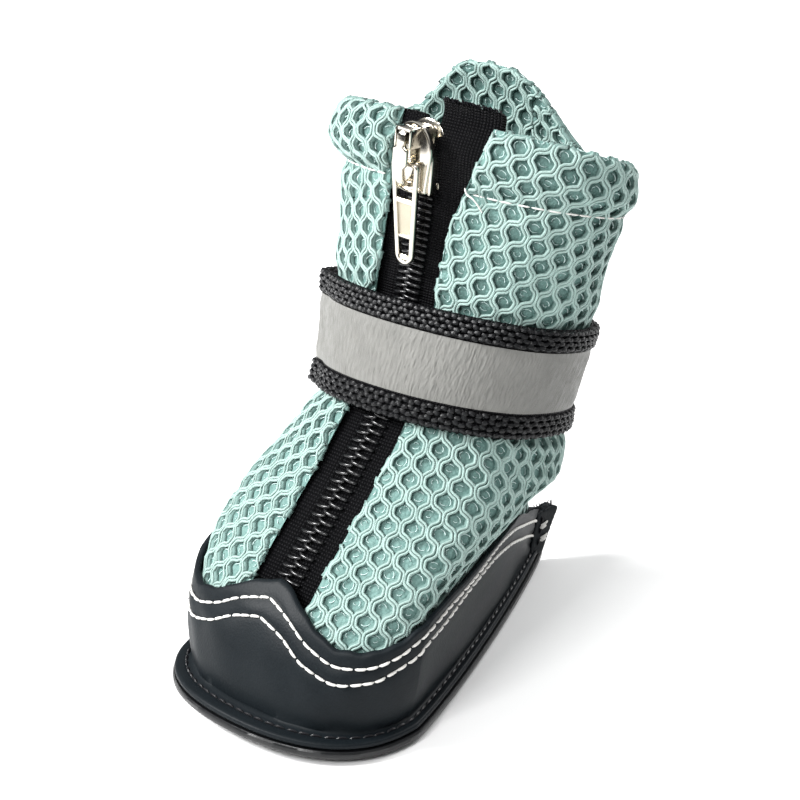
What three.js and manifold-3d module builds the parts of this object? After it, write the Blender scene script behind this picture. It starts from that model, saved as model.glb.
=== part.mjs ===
// Small zip-up dog boot: air-mesh upper with a front coil zip, a stitched-on rand whose two
// ends meet in a fin at the heel, a flat rubber outsole, an insole and a reflective ankle strap.
// Millimetres, +Z up, toe towards -Y, heel towards +Y, origin on the ground under the sole.
import * as THREE from 'three';
import { mergeVertices } from 'three/addons/utils/BufferGeometryUtils.js';
import Module from 'manifold-3d';

const wasm = await Module();
wasm.setup();

// ---- driving dimensions ----------------------------------------------------------------
const GAP = 0.3; // clearance between two pieces that touch
const UPPER_WALL = 2.0; // air mesh
const RAND_WALL = 1.1; // rand sheet
const OUTSOLE_TOP = 2.3; // thickness of the outsole with its lugs
const LUG_HEIGHT = 0.8;
const LUG_INSET = 3.2; // plain margin between the lugs and the edge of the outsole
const LUG_START = -34.15; // the first lug's front edge
const LUG_END = 28;
const LUG_PITCH = 6.4;
const LUG_WIDTH = 4.2;
const LUG_DRAFT = 0.5;
const TOE_SPRING = 1.2; // lift of the very tip of the toe
const SPRING_START = -27; // the sole starts to lift forward of this line
const SPRING_FADE = 30; // the lift dies out over this much of the upper's height
const UPPER_LOW = 2.6; // lower edge of the upper, on the outsole
const COLLAR_HEIGHT = 101; // at the zip, along the upper
const COLLAR_TONGUE = 13.4; // extra height of the rounded tab behind the ankle
const TONGUE_START = 74; // the surface starts to stretch up into the tab above this height
const TONGUE_ANGLE = 0.5; // half width of that tab round the collar, radians
const TONGUE_SHIFT = 0.34; // its middle sits this far round towards -X, radians
const SIDE_LEAN = 2.2; // the shaft leans this far towards +X at the collar
const LEAN_START = 55; // from this height up
const SIDE_SLOPE = 0.06; // and its rings rise towards +X,
const SLOPE_START = 20; // from here, and fully from the strap up
const SLOPE_END = 51; // and where it is full
const STRAP_BOTTOM = 49.2;
const STRAP_WIDTH = 19.5;
const STRAP_WALL = 1.4;
const STRAP_LAP = 1.75; // lift of the free end over the layer below
const STRAP_FREE_END = -1.62; // angle of the strap's free end
const STRAP_OVERLAP = 0.38; // and how far it laps over the strap's start
const ZIP_GAP_HALF = 7.1; // half width of the opening between the two mesh edges
const ZIP_FLARE = 6.0; // extra width of that opening on the +X side at the collar
const FLARE_START = 78; // and the height at which it starts to widen
const ZIP_BOTTOM = 16; // the zip runs down behind the rand to this height
const TAPE_WALL = 0.9;
const TAPE_OUTER = 11.4; // half width over both tapes
const TAPE_TOP_LEFT = 101; // raw upper ends of the two tapes
const TAPE_TOP_RIGHT = 104;
const COIL_HALF = 2.85;
const COIL_HEIGHT = 2.0;
const SLIDER_LENGTH = 12.0;
const SLIDER_HALF = 4.8;
const SLIDER_CENTRE = 94.5; // height of the slider's middle along the upper
const PULL_REST = 0.105; // the pull hangs this far in towards the coil, radians
const HEEL_FIN_TOP = 11.4;
const HEEL_FIN_WALL = 2.2;
const HEEL_FIN_REACH = 46.3;
const AROUND = 48; // facets round a full ring

// ---- the last: one row for each section of the upper -----------------------------------
// height: at the front of the section; front, back: where it crosses x = 0; half: half width;
// widest: y of the widest point; toe, heel: fullness ahead of and behind it (2 is an ellipse,
// 1 is a straight taper); tip: bluntness of the very back; tilt: rise per mm towards the heel.
const COLUMNS = ['height', 'front', 'back', 'half', 'widest', 'toe', 'heel', 'tip', 'tilt'];
const SECTIONS = [
  [2.6, -36.3, 35.8, 20.8, -20, 2.3, 1.14, 1.08, 0],
  [7, -36.2, 37, 22.3, -20, 2.3, 1.14, 1.08, 0],
  [13, -34.9, 38.8, 23.4, -20, 2.3, 1.15, 1.1, 0],
  [20, -31.2, 40, 24, -19, 2.3, 1.17, 1.14, 0],
  [26, -26, 40.6, 24.5, -16, 2.3, 1.22, 1.22, -0.04],
  [32, -20, 40.3, 25, -9, 2.3, 1.4, 1.45, -0.1],
  [39, -13, 39.2, 24.4, 1, 2.2, 1.8, 1.85, -0.19],
  [51, -3.5, 37, 21.0, 11, 2.1, 2.1, 2.1, -0.33],
  [70, 2, 38, 24.8, 17, 2.1, 2.1, 2.1, -0.33],
  [89, 4.5, 38, 28.2, 20, 2.1, 2.1, 2.1, -0.32],
  [95, 4.5, 38.4, 30.2, 21, 2.1, 2.1, 2.1, -0.4],
  [101, 7, 38.2, 30.2, 22, 2.1, 2.1, 2.1, -0.47],
].map((row) => Object.fromEntries(COLUMNS.map((name, i) => [name, row[i]])));
// Outer edge of the flange and of the outsole, with the same columns.
const SOLE_EDGE = { front: -41.6, back: 42.2, half: 25.1, widest: -20.5, toe: 2.25, heel: 1.14, tip: 1.07 };
// Top edge of the rand: a peak at the toe, a scallop beside it, a hump and then the heel.
const RAND_TOP = [
  { angle: 0, height: 25.4 },
  { angle: 10, height: 23.8 },
  { angle: 24, height: 20.8 },
  { angle: 42, height: 19.0 },
  { angle: 60, height: 19.6 },
  { angle: 85, height: 22.2 },
  { angle: 108, height: 24.6 },
  { angle: 126, height: 25.4 },
  { angle: 139, height: 22.6 },
  { angle: 150, height: 18.4 },
  { angle: 162, height: 14.4 },
  { angle: 171, height: 12.4 },
  { angle: 180, height: 11.6 },
];

// ---- curves ------------------------------------------------------------------------------
const clamp01 = (v) => Math.min(1, Math.max(0, v));
const smooth = (v) => clamp01(v) ** 2 * (3 - 2 * clamp01(v));

// Smooth curve through a column of a table, without overshoot between the rows.
function column(table, along, name) {
  const xs = table.map((row) => row[along]);
  const ys = table.map((row) => row[name]);
  const last = xs.length - 1;
  const slopes = ys.slice(1).map((y, i) => (y - ys[i]) / (xs[i + 1] - xs[i]));
  const tangents = ys.map((_, i) => {
    if (i === 0) return slopes[0];
    if (i === last) return slopes[last - 1];
    const [a, b] = [slopes[i - 1], slopes[i]];
    return a * b <= 0 ? 0 : (2 * a * b) / (a + b);
  });
  return (x) => {
    const i = Math.max(0, Math.min(last - 1, xs.findLastIndex((value) => value <= x)));
    const span = xs[i + 1] - xs[i];
    const s = (x - xs[i]) / span;
    const [s2, s3] = [s * s, s * s * s];
    return (
      (2 * s3 - 3 * s2 + 1) * ys[i] +
      (s3 - 2 * s2 + s) * span * tangents[i] +
      (3 * s2 - 2 * s3) * ys[i + 1] +
      (s3 - s2) * span * tangents[i + 1]
    );
  };
}

const section = Object.fromEntries(
  COLUMNS.slice(1).map((name) => [name, column(SECTIONS, 'height', name)]),
);
const randTop = column(RAND_TOP, 'angle', 'height');

// A section's own numbers at one height, moved out by `out`. A pointed heel moves further
// back than the sides move out, so that the wall keeps its thickness there.
function ring(height, out = 0) {
  const r = Object.fromEntries(Object.entries(section).map(([name, at]) => [name, at(height)]));
  return grow(r, out);
}

function grow(r, out) {
  const taper = Math.atan2(r.half, r.back - r.widest);
  const point = clamp01((2 - r.tip) / 0.9);
  const side = 1 + point * (1 / Math.cos(taper) - 1);
  const heel = 1 + point * (1 / Math.sin(taper) - 1);
  return { ...r, front: r.front - out, half: r.half + out * side, back: r.back + out * heel };
}

// Plan position on a ring; angle 0 is the toe, a quarter turn is the +X side.
function plan(r, angle) {
  const [s, c] = [Math.sin(angle), Math.cos(angle)];
  const [across, along] = c >= 0 ? [r.toe, r.toe] : [r.tip, r.heel];
  const reach = c >= 0 ? r.front - r.widest : r.back - r.widest;
  return [
    r.half * Math.sign(s) * Math.abs(s) ** (2 / across),
    r.widest + reach * Math.abs(c) ** (2 / along),
  ];
}

const lean = (height) => SIDE_LEAN * clamp01((height - LEAN_START) / (COLLAR_HEIGHT - LEAN_START));
const spring = (y) => TOE_SPRING * clamp01((SPRING_START - y) / (SPRING_START - SOLE_EDGE.front)) ** 2;

// Extra height of the rounded tab at the back of the collar.
function tongue(angle) {
  return COLLAR_TONGUE * Math.exp(-(Math.abs((angle - Math.PI - TONGUE_SHIFT) / TONGUE_ANGLE) ** 3));
}

// Point of the upper's surface, moved out by `out`. Heights above the strap stretch up into the tab.
function surface(angle, height, out = 0) {
  const r = ring(height, out);
  let [x, y] = plan(r, angle);
  x += lean(height);
  const turned = THREE.MathUtils.euclideanModulo(angle, 2 * Math.PI);
  let z = height + r.tilt * (y - section.front(height));
  z += SIDE_SLOPE * clamp01((height - SLOPE_START) / (SLOPE_END - SLOPE_START)) * x;
  z += tongue(turned) * smooth((height - TONGUE_START) / (COLLAR_HEIGHT - TONGUE_START));
  z += spring(y) * clamp01(1 - (height - UPPER_LOW) / SPRING_FADE);
  return new THREE.Vector3(x, y, z);
}

// Angle at which a ring passes x (measured from the leaning centre line), on its toe side.
function angleAt(x, height, out = 0) {
  const r = ring(height, out);
  return Math.sign(x) * Math.asin(Math.min(1, (Math.abs(x) / r.half) ** (r.toe / 2)));
}

// ---- geometry helpers ---------------------------------------------------------------------
const range = (count, from, to) =>
  Array.from({ length: count + 1 }, (_, i) => from + ((to - from) * i) / count);

// Closed body from rows of points: each row is one cross-section loop, all with the same count.
// `closed` joins the last row to the first; otherwise both end loops are filled from their centre.
function loft(rows, closed = false) {
  const count = rows[0].length;
  const points = rows.flat();
  const index = [];
  const bands = closed ? rows.length : rows.length - 1;
  for (let i = 0; i < bands; i++) {
    const next = (i + 1) % rows.length;
    for (let j = 0; j < count; j++) {
      const k = (j + 1) % count;
      const [a, b, c, d] = [i * count + j, i * count + k, next * count + k, next * count + j];
      index.push(a, b, c, a, c, d);
    }
  }
  if (!closed) {
    for (const [row, flip] of [[0, true], [rows.length - 1, false]]) {
      const centre = new THREE.Vector3();
      rows[row].forEach((p) => centre.addScaledVector(p, 1 / count));
      points.push(centre);
      for (let j = 0; j < count; j++) {
        const [a, b] = [row * count + j, row * count + ((j + 1) % count)];
        index.push(points.length - 1, ...(flip ? [b, a] : [a, b]));
      }
    }
  }
  const geometry = new THREE.BufferGeometry().setFromPoints(points);
  geometry.setIndex(index);
  return facingOut(weld(geometry));
}

function weld(geometry) {
  const plain = geometry.clone();
  plain.deleteAttribute('normal');
  plain.deleteAttribute('uv');
  return mergeVertices(plain, 1e-4);
}

// Turns every triangle over when the body's signed volume is negative.
function facingOut(geometry) {
  const [a, b, c] = [new THREE.Vector3(), new THREE.Vector3(), new THREE.Vector3()];
  const { position } = geometry.attributes;
  const index = Array.from(geometry.index.array);
  let volume = 0;
  for (let i = 0; i < index.length; i += 3) {
    a.fromBufferAttribute(position, index[i]);
    b.fromBufferAttribute(position, index[i + 1]);
    c.fromBufferAttribute(position, index[i + 2]);
    volume += a.dot(b.cross(c));
  }
  if (volume < 0) {
    for (let i = 0; i < index.length; i += 3) [index[i], index[i + 1]] = [index[i + 1], index[i]];
    geometry.setIndex(index);
  }
  return geometry;
}

function solid(geometry) {
  const g = weld(geometry);
  return new wasm.Manifold(
    new wasm.Mesh({
      numProp: 3,
      vertProperties: new Float32Array(g.attributes.position.array),
      triVerts: new Uint32Array(g.index.array),
    }),
  );
}

function fromSolid(body) {
  const { vertProperties, triVerts } = body.getMesh();
  const geometry = new THREE.BufferGeometry();
  geometry.setAttribute('position', new THREE.BufferAttribute(new Float32Array(vertProperties), 3));
  geometry.setIndex(new THREE.BufferAttribute(new Uint32Array(triVerts), 1));
  return geometry;
}

const join = (...parts) => fromSolid(parts.map(solid).reduce((sum, part) => sum.add(part)));

// Box between two corners.
function box(x0, x1, y0, y1, z0, z1) {
  const geometry = new THREE.BoxGeometry(x1 - x0, y1 - y0, z1 - z0);
  return geometry.translate((x0 + x1) / 2, (y0 + y1) / 2, (z0 + z1) / 2);
}

// Outline in the X-Z plane given thickness from y0 to y1.
function plate(outline, y0, y1, holes = []) {
  const shape = new THREE.Shape(outline.map(([x, z]) => new THREE.Vector2(x, z)));
  holes.forEach((hole) => shape.holes.push(new THREE.Path(hole.map(([x, z]) => new THREE.Vector2(x, z)))));
  const geometry = new THREE.ExtrudeGeometry(shape, { depth: y1 - y0, bevelEnabled: false });
  return geometry.rotateX(Math.PI / 2).translate(0, y1, 0);
}

// Outline in the Y-Z plane given thickness from x0 to x1.
function sidePlate(outline, x0, x1) {
  const shape = new THREE.Shape(outline.map(([y, z]) => new THREE.Vector2(y, z)));
  const geometry = new THREE.ExtrudeGeometry(shape, { depth: x1 - x0, bevelEnabled: false });
  return geometry.applyMatrix4(new THREE.Matrix4().set(0, 0, 1, x0, 1, 0, 0, 0, 0, 1, 0, 0, 0, 0, 0, 1));
}

const arc = (x, z, radius, from, to, count = 8) =>
  range(count, from, to).map((a) => [x + radius * Math.cos(a), z + radius * Math.sin(a)]);

// ---- upper ------------------------------------------------------------------------------------
const flare = (height) => ZIP_FLARE * smooth((height - FLARE_START) / (COLLAR_HEIGHT - FLARE_START));

function makeUpper() {
  const heights = [
    UPPER_LOW, 7, 13, 18, 22, 26, 29, 32, 35.5, 39, 43, 47, 51, 57, 64, 70, 77, 84, 89, 92, 95, 98, 99.8,
  ];
  const round = range(AROUND, 0, 2 * Math.PI).slice(0, -1);
  const mid = UPPER_WALL / 2;
  const rows = round.map((angle) => [
    ...heights.map((height) => surface(angle, height, 0)),
    surface(angle, COLLAR_HEIGHT, -mid * 0.4),
    surface(angle, COLLAR_HEIGHT, -mid * 1.6),
    ...heights.toReversed().map((height) => surface(angle, height, -UPPER_WALL)),
  ]);
  // The opening for the zip: a wedge that follows the front of the shaft.
  const levels = [ZIP_BOTTOM, 22, 28, 34, 40, 46, 52, 60, 70, 78, 84, 90, 96, COLLAR_HEIGHT + 6];
  const cut = levels.map((level) => {
    const height = Math.min(level, COLLAR_HEIGHT);
    const [front, back, z] = [section.front(height) - 6, section.front(height) + 9, level];
    const [left, right] = [lean(height) - ZIP_GAP_HALF, lean(height) + ZIP_GAP_HALF + flare(height)];
    return [[left, front], [right, front], [right, back], [left, back]].map(
      ([x, y]) => new THREE.Vector3(x, y, z),
    );
  });
  return fromSolid(solid(loft(rows, true)).subtract(solid(loft(cut))));
}

// ---- rand, with its flange and heel fin --------------------------------------------------------
function soleEdge(angle, out, z) {
  const [x, y] = plan(grow(SOLE_EDGE, out), angle);
  return new THREE.Vector3(x, y, z + spring(y));
}

function makeRand() {
  const [inner, outer] = [GAP, GAP + RAND_WALL];
  const flangeLow = OUTSOLE_TOP + GAP;
  const flangeTop = flangeLow + RAND_WALL;
  const angles = range(AROUND * 1.5, 0, 2 * Math.PI).slice(0, -1);
  const rows = angles.map((angle) => {
    const degrees = THREE.MathUtils.radToDeg(Math.min(angle, 2 * Math.PI - angle));
    const top = randTop(degrees);
    const wall = range(5, 0, 1).map((v) => flangeTop + 0.9 + (top - 0.3 - flangeTop - 0.9) * v);
    const foot = surface(angle, flangeTop, outer);
    const edge = soleEdge(angle, 0, flangeTop);
    return [
      surface(angle, flangeLow, inner),
      ...wall.map((height) => surface(angle, height, inner)),
      surface(angle, top, (inner + outer) / 2),
      ...wall.toReversed().map((height) => surface(angle, height, outer)),
      foot.clone().lerp(edge, 0.12).setZ(foot.z),
      edge,
      soleEdge(angle, 0, flangeLow),
    ];
  });
  const half = HEEL_FIN_WALL / 2;
  const wallBack = (height) => surface(Math.PI, height, outer).y;
  const fin = sidePlate(
    [
      [wallBack(flangeLow) - 1.6, flangeLow],
      [SOLE_EDGE.back, flangeLow],
      [SOLE_EDGE.back + 0.6, flangeTop],
      [HEEL_FIN_REACH, HEEL_FIN_TOP - 0.6],
      [HEEL_FIN_REACH - 0.8, HEEL_FIN_TOP],
      [wallBack(HEEL_FIN_TOP) - 1.6, HEEL_FIN_TOP],
      [wallBack(8) - 1.6, 8],
    ],
    -half,
    half,
  );
  return join(loft(rows, true), fin);
}

// ---- outsole and insole --------------------------------------------------------------------------
// Half width of an outline at y.
function halfAt(r, y) {
  const ahead = y < r.widest;
  const [across, along] = ahead ? [r.toe, r.toe] : [r.tip, r.heel];
  const q = Math.abs((y - r.widest) / ((ahead ? r.front : r.back) - r.widest));
  return r.half * Math.max(0, 1 - q ** along) ** (1 / across);
}

// The outsole is lofted from heel to toe: rows run across it, and its underside steps down to the lugs.
function makeOutsole() {
  const edge = grow(SOLE_EDGE, 0.3);
  const turns = range(26, 0, Math.PI).map((angle) => plan(edge, angle)[1]);
  const steps = [0, LUG_DRAFT, LUG_WIDTH, LUG_WIDTH + LUG_DRAFT];
  const count = Math.floor((LUG_END - LUG_START) / LUG_PITCH);
  const lugs = range(count - 1, 0, count - 1).map((lug) => LUG_START + lug * LUG_PITCH);
  const marks = lugs.flatMap((y) => steps.map((step) => y + step));
  const spread = turns.filter((y) => marks.every((mark) => Math.abs(mark - y) > 0.8));
  const ys = [...spread, ...marks].sort((a, b) => a - b).slice(1, -1);
  const inLug = (y) => {
    const into = THREE.MathUtils.euclideanModulo(y - LUG_START, LUG_PITCH);
    const within = y >= LUG_START && y <= marks.at(-1);
    return within && into > LUG_DRAFT / 2 && into < LUG_WIDTH + LUG_DRAFT / 2;
  };
  const rows = ys.map((y) => {
    const half = halfAt(edge, y);
    const lug = Math.max(0, half - LUG_INSET);
    const low = inLug(y) && lug > 2 ? 0 : LUG_HEIGHT;
    const at = (x, z) => new THREE.Vector3(x, y, z + spring(y));
    const foot = lug + LUG_DRAFT * clamp01(lug);
    return [
      at(0, OUTSOLE_TOP), at(-half, OUTSOLE_TOP), at(-half, LUG_HEIGHT), at(-foot, LUG_HEIGHT), at(-lug, low),
      at(lug, low), at(foot, LUG_HEIGHT), at(half, LUG_HEIGHT), at(half, OUTSOLE_TOP),
    ];
  });
  return loft(rows);
}

function makeInsole() {
  const low = OUTSOLE_TOP + GAP;
  const high = low + 1.6;
  const rows = range(AROUND, 0, 2 * Math.PI).slice(0, -1);
  const out = -UPPER_WALL - GAP;
  const at = (angle, share, height) => {
    const p = surface(angle, height, out);
    const [x, y] = [p.x * share, (p.y + 2) * share - 2];
    return new THREE.Vector3(x, y, height + spring(y));
  };
  const shares = [1, 0.75, 0.5, 0.25];
  const levels = [
    ...shares.toReversed().map((share) => [share, low]),
    [1, high - 0.4],
    ...shares.map((share) => [share - 0.02, high]),
  ];
  return loft(levels.map(([share, height]) => rows.map((angle) => at(angle, share, height))));
}

// ---- zip --------------------------------------------------------------------------------------------
const UNDER_MESH = -UPPER_WALL - GAP; // outer face of the tapes, measured from the upper's surface
const sliderLow = SLIDER_CENTRE - SLIDER_LENGTH / 2;
const tapeInner = (height) => COIL_HALF + GAP + 2.3 * smooth((height - sliderLow + 3) / 2.5);

function makeTape(side) {
  const heights = [
    ...range(8, ZIP_BOTTOM + 1, STRAP_BOTTOM),
    ...range(9, STRAP_BOTTOM + 5, sliderLow - 3),
    sliderLow - 0.5,
    ...range(3, sliderLow + 3, side > 0 ? TAPE_TOP_RIGHT : TAPE_TOP_LEFT),
  ];
  const rows = heights.map((height) => {
    const xs = range(3, tapeInner(height), TAPE_OUTER + (side > 0 ? flare(height) : 0));
    const face = (out) => xs.map((x) => surface(angleAt(side * x, height, out), height, out));
    return [...face(UNDER_MESH), ...face(UNDER_MESH - TAPE_WALL).toReversed()];
  });
  return loft(rows);
}

function makeCoil() {
  const base = UNDER_MESH + 0.1;
  const heights = [...range(10, ZIP_BOTTOM + 4, STRAP_BOTTOM), ...range(9, STRAP_BOTTOM + 4, sliderLow - GAP)];
  const rows = heights.map((height) => {
    return range(6, Math.PI, 0).map((turn) => {
      const [x, out] = [COIL_HALF * Math.cos(turn), base + COIL_HEIGHT * Math.sin(turn) ** 0.7];
      return surface(angleAt(x, height, out), height, out);
    });
  });
  return loft(rows);
}

// Slider frame: X across, Z up along the zip, Y in through the boot; the zip's mid plane is y = 0.
function sliderFrame() {
  const [low, high] = [84, 99].map((height) => surface(0, height, UNDER_MESH / 2));
  const middle = surface(0, SLIDER_CENTRE, UNDER_MESH / 2 - 0.2);
  const group = new THREE.Group();
  group.position.copy(middle);
  group.rotation.x = -Math.atan2(high.y - low.y, high.z - low.z);
  return group;
}

const PIN = { y: -3.6, z: -0.9, half: 0.6 }; // the pull's crossbar, in the slider frame

function shield(half, low, high) {
  return [
    [-half, low], [half, low], [half, high - 4.6], [half * 0.9, high - 2.4], [half * 0.62, high - 0.7],
    [0, high], [-half * 0.62, high - 0.7], [-half * 0.9, high - 2.4], [-half, high - 4.6],
  ];
}

function makeSlider() {
  const [low, high] = [-SLIDER_LENGTH / 2, SLIDER_LENGTH / 2];
  const outerPlate = plate(shield(SLIDER_HALF, low, high), -2.4, -1.4);
  const innerPlate = plate(shield(SLIDER_HALF, low, high), 1.4, 2.2);
  const lips = [-1, 1].flatMap((side) =>
    [[-1.5, -0.5], [0.6, 1.5]].map(([y0, y1]) => {
      const [x0, x1] = [side * SLIDER_HALF, side * (SLIDER_HALF - 0.8)].sort((a, b) => a - b);
      return box(x0, x1, y0, y1, low, 0.6);
    }),
  );
  const wedge = plate([[-0.5, 1.4], [0.5, 1.4], [1.5, high - 0.9], [-1.5, high - 0.9]], -1.5, 1.5);
  const bridge = sidePlate(
    [
      [-2.3, 5.4], [-4.9, 5.0], [-5.6, 3.6], [-5.6, -3.0], [-4.6, -4.6], [-2.3, -5.2],
      [-2.3, -3.9], [-3.9, -3.4], [-4.7, -2.6], [-4.7, 3.3], [-4.3, 3.9], [-2.3, 4.1],
    ],
    -1.15,
    1.15,
  );
  return join(outerPlate, innerPlate, wedge, bridge, ...lips);
}

// The pull hangs from its crossbar at the frame's origin, down along -Z.
function makePull() {
  const [top, bottom, tip] = [2.95, 1.9, -18.2];
  const halfAtZ = (z) => top + ((bottom - top) * -z) / 16.3;
  const end = arc(0, tip + bottom, bottom, 0, -Math.PI, 10);
  const outline = [[-top, PIN.half], [-halfAtZ(tip + bottom), tip + bottom], ...end.toReversed().slice(1, -1),
    [halfAtZ(tip + bottom), tip + bottom], [top, PIN.half]];
  const hole = (z0, z1, margin) => {
    const [a, b] = [halfAtZ(z0) - margin, halfAtZ(z1) - margin];
    return [[-a, z0], [a, z0], [b, z1], [-b, z1]];
  };
  const [window, slot] = [hole(-PIN.half, -6.3, 1.15), hole(-13.0, -16.2, 0.95)];
  const panel = plate(hole(-7.4, -12.4, 0.85), -0.7, -0.35);
  return fromSolid(solid(plate(outline, -PIN.half, PIN.half, [window, slot])).subtract(solid(panel)));
}

// ---- ankle strap ---------------------------------------------------------------------------------------
// One band that starts under its own free end on the -X side, goes behind the heel and round the
// front over the zip, and laps over its start.
function makeStrap() {
  const [freeEnd, start] = [STRAP_FREE_END, 2 * Math.PI + STRAP_FREE_END + STRAP_OVERLAP];
  const rows = range(66, freeEnd, start).map((angle) => {
    const lift = STRAP_LAP * smooth((freeEnd + STRAP_OVERLAP + 0.35 - angle) / 0.3);
    const inner = GAP + lift;
    const outer = inner + STRAP_WALL;
    const edge = outer - 0.3;
    const profile = [
      [0, inner], [0.33, inner], [0.67, inner], [1, inner], [1, edge],
      [0.97, outer], [0.67, outer], [0.33, outer], [0.03, outer], [0, edge],
    ];
    return profile.map(([share, out]) => surface(angle, STRAP_BOTTOM + STRAP_WIDTH * share, out));
  });
  return loft(rows);
}

// ---- assembly ---------------------------------------------------------------------------------------------
const material = (color, roughness, metalness = 0) =>
  new THREE.MeshStandardMaterial({ color, roughness, metalness });

function named(name, geometry, look) {
  const piece = new THREE.Mesh(geometry, look);
  piece.name = name;
  geometry.computeVertexNormals();
  return piece;
}

const boot = new THREE.Group();
boot.add(
  named('upper', makeUpper(), material('#9fcfc4', 0.85)),
  named('rand', makeRand(), material('#1b2023', 0.45)),
  named('outsole', makeOutsole(), material('#141617', 0.5)),
  named('insole', makeInsole(), material('#2a2d2f', 0.9)),
  named('zip_tape_left', makeTape(-1), material('#0f1011', 0.9)),
  named('zip_tape_right', makeTape(1), material('#0f1011', 0.9)),
  named('zip_coil', makeCoil(), material('#111213', 0.4)),
  named('strap', makeStrap(), material('#8f9294', 0.6)),
);

const slider = sliderFrame();
const pull = new THREE.Group();
pull.position.set(0, PIN.y, PIN.z);
pull.rotation.x = PULL_REST;
pull.add(named('zip_pull', makePull(), material('#c9c6bd', 0.25, 1)));
slider.add(named('zip_slider', makeSlider(), material('#c9c6bd', 0.25, 1)), pull);
boot.add(slider);

export default boot;
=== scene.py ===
"""Looks of a small dog boot: net upper, zip, rand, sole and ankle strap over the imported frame.

Lengths in the classes are millimetres in the frame of the CAD part (+Z up, toe towards -Y);
Shape.dress turns them into metres. Each piece is a surface of two parameters or a profile
carried along a path, worked out as whole arrays.
"""

import logging
import math
from dataclasses import dataclass, field
from enum import Enum

import bpy
import numpy as np
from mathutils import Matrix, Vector


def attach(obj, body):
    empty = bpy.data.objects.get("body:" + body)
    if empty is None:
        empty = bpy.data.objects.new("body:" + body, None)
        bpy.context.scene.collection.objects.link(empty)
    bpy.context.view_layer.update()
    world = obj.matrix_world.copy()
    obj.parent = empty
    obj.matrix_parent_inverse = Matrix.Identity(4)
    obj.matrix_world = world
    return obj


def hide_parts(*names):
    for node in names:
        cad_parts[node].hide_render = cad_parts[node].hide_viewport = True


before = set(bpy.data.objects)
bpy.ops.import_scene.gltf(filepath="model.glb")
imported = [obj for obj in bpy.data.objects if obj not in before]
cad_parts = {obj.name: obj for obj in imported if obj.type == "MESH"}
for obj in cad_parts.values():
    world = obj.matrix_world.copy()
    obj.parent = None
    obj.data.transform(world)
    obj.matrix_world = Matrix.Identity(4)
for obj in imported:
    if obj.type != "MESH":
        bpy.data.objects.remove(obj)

LOG = logging.getLogger("dog_boot")
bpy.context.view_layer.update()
MM = 0.001
WARP_PITCH = 0.62  # mm between the warp yarns of a weave
WEFT_PITCH = 0.48  # mm between its weft yarns
Array = np.ndarray


# ---- finishes -------------------------------------------------------------------------------
class Relief(Enum):
    """Named small-scale surface patterns; each is one node group shared by the finishes."""

    GRAIN = "Fine grain"
    WEAVE = "Plain weave"
    KNIT = "Close knit"
    CRINKLE = "Upright crinkle"
    FIBRE = "Drawn fibre"
    BLAST = "Blasted metal"


class Graph:
    """Short calls for making and linking nodes in one node tree."""

    def __init__(self, tree: bpy.types.NodeTree) -> None:
        """Keeps the node tree that the calls add to."""
        self.tree = tree

    def node(self, kind: str, **inputs: object) -> bpy.types.Node:
        """Adds a node and sets or links its inputs.

        Args:
            kind: the node's type name.
            inputs: socket names, with spaces as underscores, and their values or sockets.
        Returns:
            The new node.
        """
        made = self.tree.nodes.new(kind)
        for name, value in inputs.items():
            self.put(made.inputs[name.replace("_", " ")], value)
        return made

    def put(self, socket: bpy.types.NodeSocket, value: object) -> None:
        """Links `value` to a socket if it is a socket too, and otherwise sets it."""
        if isinstance(value, bpy.types.NodeSocket):
            self.tree.links.new(value, socket)
        else:
            socket.default_value = value

    def math(self, operation: str, *values: object) -> bpy.types.NodeSocket:
        """One math node.

        Args:
            operation: its operation's name.
            values: numbers or sockets for its inputs.
        Returns:
            Its output socket.
        """
        made = self.tree.nodes.new("ShaderNodeMath")
        made.operation = operation
        for socket, value in zip(made.inputs, values):
            self.put(socket, value)
        return made.outputs[0]

    def mix(self, share: object, first: object, second: object) -> bpy.types.NodeSocket:
        """Blends two colours.

        Args:
            share: from 0 for the first to 1 for the second.
            first: a colour or a socket.
            second: a colour or a socket.
        Returns:
            The mixed colour's socket.
        """
        made = self.tree.nodes.new("ShaderNodeMix")
        made.data_type = "RGBA"
        colour_inputs = (0, 6, 7)
        for number, value in zip(colour_inputs, (share, first, second)):
            self.put(made.inputs[number], value)
        return made.outputs[2]

    def noise(self, vector: object, scale: float, detail: float = 3.0) -> bpy.types.NodeSocket:
        """Noise from 0 to 1 at `scale` cells per metre. Returns its factor socket."""
        return self.node("ShaderNodeTexNoise", Vector=vector, Scale=scale, Detail=detail).outputs[0]

    def stretched(self, vector: object, scale: tuple[float, float, float]) -> bpy.types.NodeSocket:
        """The vector scaled on its own axes."""
        return self.node("ShaderNodeMapping", Vector=vector, Scale=scale).outputs[0]


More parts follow.
